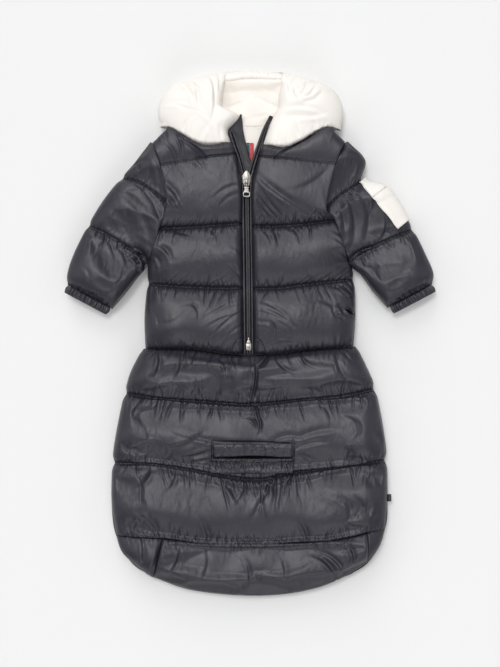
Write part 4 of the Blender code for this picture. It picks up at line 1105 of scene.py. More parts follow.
# along each sewn row a thick, nearly unbroken near-black cord lies in the groove: real stitching, made thick
# and dark to paint the shade at the bottom of the seam
for wall in walls.values():
    normal = normalsOf(wall.skin)
    paths = [(wall.skin[row], normal[row]) for row in wall.stitched[1:-1]]
    if paths:
        stitchPiece(wall.name + "Stitches", paths, threadAndSeamShade, "shell_dark", length=2.7, gap=0.5,
                    thick=0.9, rise=-0.1)
report("quilting sewn")


zipTape = {
    # y, left outer, left inner, right inner, right outer, base
    "rungs": [
        (-27, -10.6, -3.4, -2.9, 3.7, 28), (20, -11.2, -3.6, -3.1, 3.4, 28), (62, -11.7, -3.8, -3.3, 2.9, 28),
        (108, -12.2, -4.5, -4.0, 2.3, 28), (153, -12.7, -5.2, -4.7, 1.5, 28),
        (201, -13.1, -6.0, -5.5, 1.4, 28), (218, -13.4, -6.4, -5.8, 2.6, 28),
        (227, -14.2, -7.8, -3.4, 4.4, 28), (244, -18.6, -11.6, 2.2, 9.2, 28.5),
        (265, -27.0, -18.0, 9.9, 15.6, 29.5), (281, -31.2, -23.6, 15.8, 20.6, 31),
    ],
    # the right tape runs on to the hood's corner: y, inner, outer, base
    "tip": [(291.0, 20.4, 25.2, 32.0), (302.5, 27.0, 29.6, 33.0)],
    # the tape's cross-section from its outer edge to the teeth: share of the width, height
    "section": [
        (0.0, 1.3), (0.03, 1.5), (0.07, 2.4), (0.15, 2.9), (0.28, 3.0), (0.36, 2.9), (0.43, 2.5), (0.47, 1.0),
        (0.56, 0.9), (0.63, 1.0), (0.68, 2.5), (0.77, 2.8), (0.88, 2.7), (0.95, 2.3), (1.0, 1.2),
    ],
    # the low channels beside the two raised cords of each tape, where near-black strips paint their shade:
    # from and to, as shares of the width
    "shadeSpans": [(0.0, 0.04), (0.46, 0.64)],
    "step": 2.2,  # spacing of its points along it
    "shadeHigh": 1.35,
}


def zipTapes():
    rungs, section, shadeSpans = zipTape["rungs"], zipTape["section"], zipTape["shadeSpans"]
    left = [(y, a, b, base) for y, a, b, _, _, base in rungs]
    right = [(y, a, b, base) for y, _, _, a, b, base in rungs] + zipTape["tip"]
    made = {}
    for name, rows in (("left", left), ("right", right)):
        grid, shadeStrips = [], [[] for _ in shadeSpans]
        count = int((rows[-1][0] - rows[0][0]) / zipTape["step"]) + 1
        for y, first, last, base in throughRows(rows, count):

            def at(share):
                return first + (last - first) * (share if name == "left" else 1 - share)

            row = []
            for share, height in section:
                ripple = 0.12 * math.sin(y * 0.9) + 0.1 * math.sin(y * 0.37 + share * 9)
                row.append((at(share), y, base + height + ripple))
            grid.append(row if name == "left" else row[::-1])
            # near-black strips lie in the low channels as painted shade
            for shadeStrip, (start, end) in zip(shadeStrips, shadeSpans):
                line = [(at(share), y, base + zipTape["shadeHigh"]) for share in spread(start, end, 4)]
                shadeStrip.append(line if name == "left" else line[::-1])
        top = np.array(grid)
        rise = top[..., 2] - top[..., 2].min(axis=1)[:, None] + 1.0
        side = name.capitalize()
        pieces = [settle(thinSheet("zipTape" + side, top, rise), "zip_cloth", coatedTape, "zip_tape_" + name)]
        for number, shadeStrip in enumerate(shadeStrips):
            strip = thinSheet(f"zipChannel{side}{number}", np.array(shadeStrip), 0.3)
            pieces.append(settle(strip, "zip_cloth", blackCloth))
        made[name] = (top, pieces)
    return made


tapes = zipTapes()


coilTurns = {
    "pitch": 1.5,
    "half": 0.55,  # half the width of a turn
    "openFrom": 226,  # the zip is open above this place
    "foot": -4,
}


def coilPiece():
    # the coil's turns show as small ribs in the slit between the tapes, and along both edges where it is open
    points, faces = [], []
    pitch, half = coilTurns["pitch"], coilTurns["half"]

    def rib(x, y, z, wide):
        base = len(points)
        for dy, dz in ((-half, -0.5), (-half * 0.6, 0.35), (half * 0.6, 0.35), (half, -0.5)):
            points.append((x - wide, y + dy, z + dz))
            points.append((x + wide, y + dy, z + dz))
        for k in range(4):
            n = (k + 1) % 4
            faces.append((base + 2 * k, base + 2 * k + 1, base + 2 * n + 1, base + 2 * n))
        faces.append((base, base + 2, base + 4, base + 6))
        faces.append((base + 7, base + 5, base + 3, base + 1))

    # the tape, its inner column, how far its ribs lean to the other tape, and their step along it
    for name, inner, lean, step in (("left", -1, 0.25, 0.0), ("right", 0, -0.25, pitch / 2)):
        top = tapes[name][0]
        for y in np.arange(coilTurns["foot"], top[-1, 0, 1] - 3, pitch):
            x = np.interp(y, top[:, inner, 1], top[:, inner, 0])
            z = np.interp(y, top[:, inner, 1], top[:, inner, 2])
            reach, wide = (2.2, 0.75) if y > coilTurns["openFrom"] else (0.4, 0.3)
            rib(x + lean * reach, y + step, z - 0.1, wide)
    made = meshObject("zipCoil", np.array(points), faces, smooth=False)
    faceOutwards(made)
    return settle(made, "zip_cloth", coatedTape)


coil = coilPiece()


guard = {
    # y, left, right, height
    "rows": [
        (-26.5, -10.4, 3.4, 23.8), (64, -11.4, 2.6, 23.8), (154, -12.5, 1.2, 23.8), (226, -13.2, 2.0, 23.8),
        (244, -18.6, -1.2, 24.0), (266, -27.4, -7.0, 25.0), (281, -31.4, -10.4, 27.0),
        (291, -25.0, -11.8, 28.5), (300, -17.6, -12.6, 30.0), (305.5, -14.4, -13.4, 30.5),
    ],
    "thick": 1.5,
    "rise": 1.6,  # from those heights to its upper side
    "wave": 0.35,
}


def zipGuard():
    rise, wave = guard["rise"], guard["wave"]
    top = np.array([
        [(x, y, base + rise + wave * math.sin(y * 0.21 + j)) for j, x in enumerate(spread(first, last, 9))]
        for y, first, last, base in throughRows(guard["rows"], 91)
    ])
    made = settle(thinSheet("zipGuard", top, guard["thick"]), "shell_dark", plainCharcoal, "zip_guard")
    edges = [facingUp(top[:, 1] * 0.5 + top[:, 2] * 0.5), facingUp(top[:, -2] * 0.5 + top[:, -3] * 0.5)]
    sewn = stitchPiece("zipGuardStitches", edges, threadAndSeamShade, "shell_dark", thick=0.4)
    onIt = [*tapes["left"][1], *tapes["right"][1], coil, sewn]
    declareSheet(made, top, "laid", ["jacketFrontLeft"], onIt)


zipGuard()
report("zip sewn in")


neckTrim = {
    # the facing: y, left, right
    "facing": [(230, -13.0, 2.6), (246, -18.0, 9.0), (262, -24.0, 15.2), (280, -26.5, 19.5),
               (291, -17.5, 22.5)],
    "height": 21.5,
    "labelHeight": 22.6,
    "loopHeight": 23.0,
    "labelSpan": (-15.4, -1.8),
    "labelFoot": 243.6,
    "loopSpan": (-1.3, 3.6),
    "loopFoot": 238,
    "trimHead": 267,  # where the label and the loop are sewn in
}


def strip(span, foot, rows, columns):
    left, right = span
    return planOver([left] * rows, [right] * rows, spread(foot, neckTrim["trimHead"], rows), columns)


def neck():
    grid = []
    for y, first, last in throughRows(neckTrim["facing"], 41):
        fold = 0.5 * math.exp(-(((y - 289) / 1.2) ** 2)) - 0.4 * math.exp(-(((y - 291) / 1.0) ** 2))
        height = neckTrim["height"] + fold
        grid.append([(x, y, height + 0.25 * math.sin(x * 0.5 + y * 0.2)) for x in spread(first, last, 25)])
    top = np.array(grid)
    facing = settle(thinSheet("neckFacing", top, 1.1), "cream_lining", creamLining, "neck_facing")
    lift = 0.5 * np.sin(spread(0, 3, 9))[None] * spread(1, 0.2, 13)[:, None]
    plan = strip(neckTrim["labelSpan"], neckTrim["labelFoot"], 13, 9)
    labelTop = np.concatenate([plan, (neckTrim["labelHeight"] + lift)[..., None]], axis=2)
    label = settle(thinSheet("neckLabel", labelTop, 0.7), "label", slateLabel, "neck_label")
    lift = 0.9 * np.sin(spread(0, math.pi, 17))[:, None] * np.ones(5)
    plan = strip(neckTrim["loopSpan"], neckTrim["loopFoot"], 17, 5)
    loopTop = np.concatenate([plan, (neckTrim["loopHeight"] + lift)[..., None]], axis=2)
    loop = settle(thinSheet("hangingLoop", loopTop, 0.9), "loop", redRibbon, "hanging_loop")
    sewn = stitchPiece("neckStitches", [facingUp(labelTop[-2]), facingUp(labelTop[1])], creamThread, "label",
                       length=1.6, thick=0.35)
    declareSheet(facing, top, "laid", ["jacketBack"], [label, loop, sewn])


hoodInside = {
    # y, left, right
    "rows": [(290.5, -19.0, 25.5), (302.0, -16.6, 30.5), (315.0, -41.0, 40.5), (330.0, -42.0, 42.5),
             (356.0, -40.0, 45.0)],
    # its creases: x1, y1, x2, y2, width, depth
    "creases": [(-38, 336, 0, 341, 2.2, 1.5), (-38, 314, -14, 323, 2.5, 1.4), (8, 330, 34, 318, 2.5, 1.0),
                (-10, 300, 22, 306, 3, 0.8), (-30, 345, 20, 346, 2.5, -1.0), (12, 344, 36, 336, 2, 1.0)],
    "height": 21.9,
    "sideRise": 8,
    "headRise": 9,
}


def hoodLining():
    grid = []
    for y, first, last in throughRows(hoodInside["rows"], 49):
        line = []
        for x in spread(first, last, 61):
            # it rises to the hood at its sides and at its head
            sides = math.exp(-(((x - first) / 9) ** 2)) + math.exp(-(((last - x) / 9) ** 2))
            head = math.exp(-(((y - 352) / 9) ** 2))
            rise = max(hoodInside["sideRise"] * sides, hoodInside["headRise"] * head)
            rise *= min(1, max(0, (y - 296) / 14))
            height = hoodInside["height"] + rise + 0.5 * math.sin(x * 0.16 + 1) * math.sin(y * 0.2)
            for x1, y1, x2, y2, width, depth in hoodInside["creases"]:
                run = Vector((x2 - x1, y2 - y1))
                share = min(max(((x - x1) * run.x + (y - y1) * run.y) / run.length_squared, 0), 1)
                away = math.hypot(x - x1 - run.x * share, y - y1 - run.y * share)
                height -= depth * math.exp(-((away / width) ** 2))
            line.append((x, y, height))
        grid.append(line)
    top = np.array(grid)
    innerSheet = settle(thinSheet("hoodLining", top, 1.2), "cream_lining", creamLining, "hood_lining")
    declareSheet(innerSheet, top, "laid", ["hoodBack"])


neck()
hoodLining()
report("neck lined")


cuffs = {
    "steps": 256,  # points round a band
    "bands": 11,  # and along it
    "gathers": 15,
    "halfTall": 8.0,
    "halfHollow": 1.7,
    "height": 18.6,  # of its middle
}


def cuff(name, node, sleeve, outer, inner, drop, seed):
    # a gathered elastic band: a flattened ring of cloth, wavy along its length and pinched at both ends
    steps, bands = cuffs["steps"], cuffs["bands"]
    start, end, fall = np.array(outer, float), np.array(inner, float), np.array(drop, float)
    middle, across = (start + end) / 2, (end - start) / 2
    halfWide = np.linalg.norm(across)
    across /= halfWide
    dice = random.Random(seed)
    phases = [dice.uniform(-0.5, 0.5) for _ in range(6)]
    # share along the band, and whether it is its hollow
    profile = [(k / (bands - 1), False) for k in range(bands)] + [(k / 4, True) for k in range(4, -1, -1)]
    rings = []
    for share, inside in profile:
        ring = []
        puffed = 0.0 if inside else math.sin(math.pi * share)
        for k in range(steps):
            angle = math.tau * k / steps
            wobble = sum(math.sin(angle * (m + 2) + phases[m] * 6) for m in range(5)) * 0.22
            turns = cuffs["gathers"] * angle + wobble
            wave = abs(math.cos(turns)) ** 0.8 * 3.4 - 1.9 + 0.6 * math.sin(angle * 9 + phases[5] * 9)
            wave *= 0.65 + 0.35 * puffed
            wide, tall = halfWide + wave + 0.7 * puffed, cuffs["halfTall"] + wave + 0.8 * puffed
            skew = 0.7 * math.sin(turns * 0.5 + share * 2)
            if inside:
                wide, tall, skew = halfWide - 4, cuffs["halfHollow"], 0.0
            reach = math.copysign(abs(math.cos(angle)) ** 0.8, math.cos(angle)) * wide
            rise = math.copysign(abs(math.sin(angle)) ** 0.8, math.sin(angle)) * tall
            place = middle + across * (reach + skew) + fall * share
            ring.append((place[0], place[1], cuffs["height"] + rise))
        rings.append(ring)
    rings = np.array(rings)
    count = len(rings)
    faces = []
    for r in range(count):
        s = (r + 1) % count
        for k in range(steps):
            n = (k + 1) % steps
            faces.append((r * steps + k, r * steps + n, s * steps + n, s * steps + k))
    places = np.array([(x, r * 2.0) for r in range(count) for x in np.arange(steps) * 0.9])
    made = meshObject(name, rings.reshape(-1, 3), faces, places)
    faceOutwards(made)
    settle(made, "shell", charcoalNylon, node)
    shown = rings[:bands]
    declareSheet(made, np.concatenate([shown, shown[:, :1]], axis=1), "gathered", [sleeve])


cuff("cuffLeft", "cuff_left", "sleeveLeftFront", (-254.6, 67.0), (-198.2, 37.0), (-5.4, -9.4), 5)
cuff("cuffRight", "cuff_right", "sleeveRightFront", (195.8, 38.8), (251.4, 67.9), (5.2, -9.6), 6)
report("cuffs gathered")

bagTree = treeOf(walls["bag_front"].made)
leftTree = treeOf(walls["jacket_front_left"].made)
rightTree = treeOf(walls["jacket_front_right"].made)


harness = {
    # each strip: name, node, top, foot, left, right, thickness, columns, rows
    "strips": [
        ("slotWelt", "slot_welt", -152.0, -171.2, -51.8, 56.0, 1.6, 109, 13),
        ("slotBinding", "slot_binding", -172.6, -176.8, -55.0, 57.4, 1.2, 225, 7),
        ("slotElastic", "slot_elastic", -177.6, -193.0, -56.0, 57.4, 1.4, 225, 13),
    ],
    "puckers": 84,
    # creases of the welt: place, slant
    "creases": [(-40, 1.2), (-34, -0.6), (-20, -0.8), (-9, 0.5), (8, -0.4), (24, 0.9), (33, 0.4), (38, -1.4)],
    "mouth": (-168.5, -174.0, -53.0, 57.0),  # top, foot, left and right of the near-black sheet that paints the shade inside it
}


def harnessSlot():
    dice = random.Random(12)
    # the elastic's puckers: place, width, depth, slant, how far they reach
    limits = ((-56, 57), (0.5, 1.8), (1.2, 3.2), (-0.8, 0.8), (0.25, 1.1))
    puckers = [[dice.uniform(*limit) for limit in limits] for _ in range(harness["puckers"])]
    made = {}
    for name, node, topY, footY, leftX, rightX, thick, columns, rows in harness["strips"]:
        u, v = np.meshgrid(spread(0, 1, columns), spread(0, 1, rows))
        plan = planOver([leftX] * rows, [rightX] * rows, spread(topY, footY, rows), columns)
        if name == "slotWelt":
            # its free edge stands open in the middle
            plan[..., 1] += 2.4 * v * np.sin(math.pi * np.clip(u * 1.1 - 0.05, 0, 1)) ** 1.5
        elif name == "slotBinding":
            plan[..., 1] += 0.35 * uneven(plan[..., 0], 0 * v, 5, 32) * (0.3 + v)
        top = layOn(bagTree, plan, 0.4, 3.0, 3)
        x, y = plan[..., 0], plan[..., 1]
        roundEdge = 0.9 * thick * (1 - np.abs(2 * v - 1) ** 4)
        lift = thick * 0.6 + roundEdge * 0.6
        if name == "slotElastic":
            lift = lift + 2.2
            for place, width, deep, slant, reach in puckers:
                off = x - place - slant * (topY - y)
                lift = lift - deep * np.exp(-((off / width) ** 2)) * np.clip(1 - v / reach, 0, 1)
        elif name == "slotBinding":
            lift = lift + 0.5 * uneven(x, y, 4.5, 33) + 0.3
        else:
            lift = lift + 0.35 * uneven(x, y, 15, 31) - 0.9 * np.exp(-(((x - 2 + 0.1 * y) / 1.3) ** 2))
            for place, slant in harness["creases"]:
                off = x - place - slant * (topY - y)
                lift = lift - 1.3 * np.exp(-((off / 1.3) ** 2)) * np.clip(1 - 1.4 * v, 0, 1)
        lift = np.maximum(lift, 0.3)
        top[..., 2] += lift
        made[name] = settle(thinSheet(name, top, lift + 0.1), "shell", charcoalNylon, node), top
    # a near-black sheet in the slot's mouth paints the shade inside it
    topY, footY, leftX, rightX = harness["mouth"]
    plan = planOver([leftX] * 5, [rightX] * 5, spread(topY, footY, 5), 45)
    innerSheet = thinSheet("slotShade", layOn(bagTree, plan, 0.35, 1.0, 0), 0.3)
    settle(innerSheet, "shell_dark", blackCloth)
    welt, weltTop = made["slotWelt"]
    binding, bindingTop = made["slotBinding"]
    paths = [facingUp(path) for path in (weltTop[1], weltTop[-2], bindingTop[3])]
    sewn = stitchPiece("slotStitches", paths, threadAndSeamShade, "shell_dark", thick=0.35, rise=-0.05)
    declareSheet(welt, weltTop, "laid", ["bagFront"], [binding, sewn, innerSheet])
    declareSheet(*made["slotElastic"], "gathered", ["bagFront"])


harnessSlot()


halfMoon = {
    "wide": 14.5,
    "tall": 18.5,
    "thick": 1.1,
    "rings": 13,
    "spokes": 25,
}


def halfMoons():
    # node, what it is sewn on, that piece's surface, centre, first and last angle
    for node, under, tree, (x, y), first, last in (
        ("patch_left", "jacketFrontLeft", leftTree, (-11.6, -24.6), 180, 94),
        ("patch_right", "jacketFrontRight", rightTree, (5.0, -24.6), 0, 86),
    ):
        wide, tall = halfMoon["wide"], halfMoon["tall"]
        turns = [math.radians(a) for a in spread(first, last, halfMoon["spokes"])]
        plan = np.array([
            [(x + size * wide * math.cos(a), y + size * tall * math.sin(a)) for a in turns]
            for size in spread(0.16, 1.0, halfMoon["rings"])
        ])
        top = layOn(tree, plan, 0.9, 1.5, 2)
        outwards = spread(0, 1, halfMoon["rings"])[:, None]
        top[..., 2] += 0.3 + 0.7 * np.clip(1 - (outwards - 0.94) ** 2 / 0.003, 0, 1)  # a raised rim
        name = pieceName(node)
        patch = settle(thinSheet(name, top, halfMoon["thick"]), "shell_dark", charcoalNylon, node)
        sewn = stitchPiece(name + "Stitches", [facingUp(top[10])], threadAndSeamShade, "shell_dark",
                           length=1.6, thick=0.4)
        declareSheet(patch, top, "laid", [under], [sewn])


halfMoons()


pocketMouth = {
    "welt": (124.6, 66.0, 13.0, -14.6),  # x, y, and the run to its other end
    "weltFrom": (-3.2, -2.8),  # where its first edge lies beside that line, and the way across it
    "weltWide": (6.2, 5.5),
    "gap": (130.4, 34.6, 13.0, -8.0),
    "steps": 15,
}


def sidePocket():
    run = spread(0, 1, pocketMouth["steps"])
    startX, startY, runX, runY = pocketMouth["welt"]
    fromX, fromY = pocketMouth["weltFrom"]
    wideX, wideY = pocketMouth["weltWide"]
    plan = []
    for share in run:
        x, y = startX + share * runX + fromX, startY + share * runY + fromY
        plan.append([(x + wideX * v, y + wideY * v) for v in spread(0, 1, 7)])
    top = layOn(rightTree, np.array(plan), 0.4, 2.0, 2)
    top[..., 2] += 0.4 + 0.5 * np.sin(spread(0.15, math.pi - 0.15, 7))[None]
    settle(thinSheet("sidePocketWelt", top, 1.2), "shell", charcoalNylon, "side_pocket_welt")
    # a near-black sheet in the pocket's mouth paints the shade in its gap
    startX, startY, runX, runY = pocketMouth["gap"]
    gap = []
    for share in run:
        x, y, half = startX + runX * share, startY + runY * share, 0.3 + 1.5 * math.sin(math.pi * share)
        gap.append([(x + 0.5 * half * v, y + half * v) for v in spread(-1, 1, 5)])
    gapTop = layOn(rightTree, np.array(gap), 0.3, 0.5, 0)
    settle(thinSheet("sidePocketMouthShade", gapTop, 0.3), "shell_dark", blackCloth)
    stitchPiece("sidePocketStitches", [facingUp(top[:, 1])], threadAndSeamShade, "shell_dark", length=1.8,
                thick=0.4)


sidePocket()


webbing = {
    "root": 190.4,
    "fold": 194.6,
    "half": 1.0,  # half the height of the folded loop
    "foot": -234,
    "head": -224,
    "thick": 0.7,
    "steps": 12,  # round the fold
}


def sideTab():
    # a folded loop of webbing that stands out of the bag's side seam
    low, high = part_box("side_tab")
    middleZ = (low[2] + high[2]) / 2 / toMetres
    root, fold, half, steps = webbing["root"], webbing["fold"], webbing["half"], webbing["steps"]
    turns = [-math.pi / 2 + math.pi * k / steps for k in range(steps + 1)]
    outline = [(fold + half * math.cos(turn), middleZ + half * math.sin(turn)) for turn in turns]
    outline = [(root, middleZ - half), *outline, (root, middleZ + half)]
    top = np.array([[(x, y, z) for x, z in outline] for y in spread(webbing["foot"], webbing["head"], 9)])
    settle(thinSheet("sideTab", top, webbing["thick"]), "shell_dark", plainCharcoal, "side_tab")


sideTab()


patchPocket = {
    "start": (157.5, 217.0),  # the line of the sleeve's outer edge that it wraps
    "end": (211.0, 151.5),
    "core": 20,  # how far inside that line its rays start
    "inner": 9.0,  # how far from there its inner edge is, in the picture
    "front": 76,  # the rays' first and last angle, from the front round to the back
    "back": -24,
    "rows": 49,
    "columns": 33,
    "flap": (17, 30),  # rows and columns that the flap covers
}


def sleevePocket():
    # the patch pocket wraps the sleeve's outer edge, with a flap over its mouth
    rows, columns, back = patchPocket["rows"], patchPocket["columns"], patchPocket["back"]
    tree = treeOf(walls["sleeve_right_front"].made, backs["sleeve_right_back"].made)
    start, end = np.array(patchPocket["start"]), np.array(patchPocket["end"])
    run = (end - start) / np.linalg.norm(end - start)
    outward = np.array([-run[1], run[0]])

    def turned(angle):
        return Vector((*(outward * math.cos(math.radians(angle))), math.sin(math.radians(angle))))

    tried = spread(patchPocket["front"], back, 101)
    cores, turns, far = [], [], []
    for share in spread(0.0, 1.0, rows):
        inside = start + (end - start) * share - outward * patchPocket["core"]
        core = Vector((*inside, garment["seamHeight"]))
        hits = [tree.ray_cast(core + turned(angle) * 90, -turned(angle))[0] for angle in tried]
        lengths = np.array([(hit - core).length if hit else patchPocket["core"] for hit in hits])
        # the pocket's inner edge is straight in the picture
        first = tried[np.argmax(lengths * np.cos(np.radians(tried)) > patchPocket["inner"])]
        for angle in spread(first, back, columns):
            cores.append(core)
            turns.append(turned(angle))
            far.append(np.interp(-angle, -tried, lengths))
    cores = np.array(cores).reshape(rows, columns, 3)
    turns = np.array(turns).reshape(rows, columns, 3)
    far = np.array(far).reshape(rows, columns)
    # the highest place around each point, so that the slit between the sleeve's two walls doesn't count
    wide = np.pad(far, 1, mode="edge")
    far = np.max([wide[a : a + rows, b : b + columns] for a in range(3) for b in range(3)], axis=0)
    for _ in range(6):
        far = np.maximum(0.5 * far + 0.5 * meanAround(far), far - 0.3)
    u, v = np.meshgrid(spread(0, 1, columns), spread(0, 1, rows))
    soft = 0.35 * uneven(u * 40, v * 80, 26, 77) + 0.9 * np.sin(math.pi * u) * np.sin(math.pi * v)
    soft -= 1.3 * np.exp(-(((v - 0.47 - 0.12 * u) / 0.03) ** 2)) * np.clip(1.2 - 1.4 * u, 0, 1)

    def lay(name, node, rows, columns, rise, thick):
        covered = np.s_[:rows, :columns]
        top = cores[covered] + turns[covered] * (far[covered] + rise + soft[covered])[..., None]
        normal = normalsOf(top)
        if (normal * (top - cores[covered])).sum() < 0:
            normal *= -1
        return settle(thinSheet(name, top, thick), "cream_shell", creamNylon, node), top, normal

    pocket, pocketTop, pocketNormal = lay("sleevePocket", "sleeve_pocket", rows, columns, 2.2, 1.5)
    flap, flapTop, flapNormal = lay("sleevePocketFlap", "sleeve_pocket_flap", *patchPocket["flap"], 4.0, 1.4)
    paths = [(pocketTop[:, 1], pocketNormal[:, 1]), (pocketTop[:, -2], pocketNormal[:, -2]),
             (pocketTop[-2], pocketNormal[-2]), (flapTop[-2], flapNormal[-2]),
             (flapTop[:, -2], flapNormal[:, -2]), (flapTop[1], flapNormal[1])]
    sewn = stitchPiece("sleevePocketStitches", paths, creamThread, "cream_shell", length=2.2, thick=0.45,
                       rise=0.05)
    declareSheet(pocket, pocketTop, "laid", ["sleeveRightFront"], [sewn])
    declareSheet(flap, flapTop, "laid", ["sleevePocket"])


sleevePocket()
report("pockets, slot and trims laid on")


def deselect():
    bpy.ops.object.select_all(action="DESELECT")


def choose(made):
    deselect()
    made.select_set(True)
    bpy.context.view_layer.objects.active = made


def newPart(name):
    made = bpy.context.object
    made.name = made.data.name = name
    return made


def settleTransform(made):
    choose(made)
    bpy.ops.object.transform_apply(location=True, rotation=True, scale=True)


def roundEdges(made, width, segments, angle):
    # width in millimetres; only edges that turn by more than the angle, in degrees, are rounded
    bevel = made.modifiers.new("bevel", "BEVEL")
    bevel.width = width * toMetres
    bevel.segments = segments
    bevel.limit_method = "ANGLE"
    bevel.angle_limit = math.radians(angle)
    choose(made)
    bpy.ops.object.modifier_apply(modifier=bevel.name)


metal = {
    "x": -6.2,  # the middle of the slider
    "y": 217.5,
    "low": 31.5,  # the top of the zip
    "high": 34.1,  # and of the slider's plate
    "hingeY": 207.0,  # the pin that the pull swings on
    "hingeZ": 36.5,
    # the slider's top, from its middle
    "crown": [
        (-4.6, -9.5), (4.6, -9.5), (5.6, -6.5), (5.0, -3.2), (6.0, 0.5), (5.6, 3.6), (3.6, 7.2), (1.4, 9.4),
        (0, 10), (-1.4, 9.4), (-3.6, 7.2), (-5.6, 3.6), (-6.0, 0.5), (-5.0, -3.2), (-5.6, -6.5),
    ],
    "bridge": [(-2.2, 209.6), (2.2, 209.6), (1.6, 214.5), (-1.6, 214.5)],  # what the pull hangs from
    "rail": [(5.0, 211.5), (6.1, 211.5), (6.4, 221), (5.2, 221)],  # holds a tape
}


def meshPiece(name, shape):
    # an object from a bmesh, with its faces turned outwards
    bmesh.ops.recalc_face_normals(shape, faces=shape.faces)
    mesh = bpy.data.meshes.new(name)
    shape.to_mesh(mesh)
    shape.free()
    made = bpy.data.objects.new(name, mesh)
    bpy.context.scene.collection.objects.link(made)
    return made


def plate(name, outline, low, high, bevel):
    # an outline drawn out between two heights, with its edges rounded
    shape = bmesh.new()
    ring = [shape.verts.new((x * toMetres, y * toMetres, low * toMetres)) for x, y in outline]
    face = shape.faces.new(ring)
    drawn = bmesh.ops.extrude_face_region(shape, geom=[face])
    raised = [v for v in drawn["geom"] if isinstance(v, bmesh.types.BMVert)]
    bmesh.ops.translate(shape, vec=(0, 0, (high - low) * toMetres), verts=raised)
    made = meshPiece(name, shape)
    roundEdges(made, bevel, 3, 35)
    return made


def block(name, low, high, bevel):
    outline = [(low[0], low[1]), (high[0], low[1]), (high[0], high[1]), (low[0], high[1])]
    return plate(name, outline, low[2], high[2], bevel)


def join(name, pieces):
    deselect()
    for piece in pieces:
        piece.select_set(True)
    bpy.context.view_layer.objects.active = pieces[0]
    bpy.ops.object.join()
    made = newPart(name)
    bpy.ops.object.shade_smooth_by_angle(angle=math.radians(40))
    return made


def rod(name, radius, start, end, bevel=0.2, sides=24):
    # a short round rod between two places that differ along one axis
    deselect()
    middle, run = (Vector(start) + Vector(end)) / 2, Vector(end) - Vector(start)
    bpy.ops.mesh.primitive_cylinder_add(vertices=sides, radius=radius * toMetres, depth=run.length * toMetres,
                                        location=middle * toMetres)
    made = newPart(name)
    made.rotation_euler = run.to_track_quat("Z", "Y").to_euler()
    settleTransform(made)
    roundEdges(made, bevel, 2, 50)
    return made


def slider():
    x, y, low, high = metal["x"], metal["y"], metal["low"], metal["high"]
    crown = metal["crown"]
    parts = [plate("sliderTop", [(x + a, y + b) for a, b in crown], low, high, 0.7)]
    field = [(a * 0.62, 1.6 + b * 0.55) for a, b in crown]
    parts.append(plate("sliderField", [(x + a, y + b) for a, b in field], high - 0.3, high + 0.55, 0.35))
    parts.append(block("sliderSole", (x - 5.2, 211, 25.6), (x + 5.2, 227, 27.6), 0.5))
    parts.append(block("sliderPost", (x - 1.1, 224.4, 25.8), (x + 1.5, 226.8, low + 1), 0.3))
    bridge = [(x + a, b) for a, b in metal["bridge"]]
    parts.append(plate("sliderBridge", bridge, high - 0.2, high + 1.6, 0.6))
    for side in (-1, 1):
        parts.append(block("sliderEar", (x + side * 3.3 - 0.6, metal["hingeY"] - 1.4, high - 1),
                           (x + side * 3.3 + 0.6, metal["hingeY"] + 2.0, metal["hingeZ"] + 1.0), 0.3))
        # one rail's outline is turned round so that both run the same way
        rail = [(x + side * a, b) for a, b in metal["rail"]]
        parts.append(plate("sliderRail", rail[::side], low - 1.6, low + 0.5, 0.3))
    hinge = (metal["hingeY"], metal["hingeZ"])
    parts.append(rod("sliderPin", 0.8, (x - 3.6, *hinge), (x + 3.6, *hinge)))
    for rivetX in (x - 2.3, x + 2.3):
        parts.append(rod("sliderRivet", 0.7, (rivetX, y - 6.2, high - 0.3), (rivetX, y - 6.2, high + 0.5)))
    settle(join("slider", parts), "metal", nickel, "slider")


pull = {
    # outlines from the pin, and of the loop from the stem's end
    "stem": [(-3.6, -9.6), (3.6, -9.6), (3.2, -7.4), (2.9, -5.4), (2.9, -2.0), (-2.9, -2.0), (-2.9, -5.4),
             (-3.2, -7.4)],
    "loop": [(-3.6, 0), (3.6, 0), (5.2, -2.2), (5.2, -6.6), (3.8, -8.4), (-3.8, -8.4), (-5.2, -6.6),
             (-5.2, -2.2)],
    "window": [(-2.6, -2.2), (2.6, -2.2), (3.4, -3.4), (3.4, -5.6), (2.6, -6.5), (-2.6, -6.5), (-3.4, -5.6),
               (-3.4, -3.4)],
    "stemEnd": 8.6,
    "below": 0.9,  # from the pin's middle down to the plates' underside, and up to their top
    "above": 0.7,
}


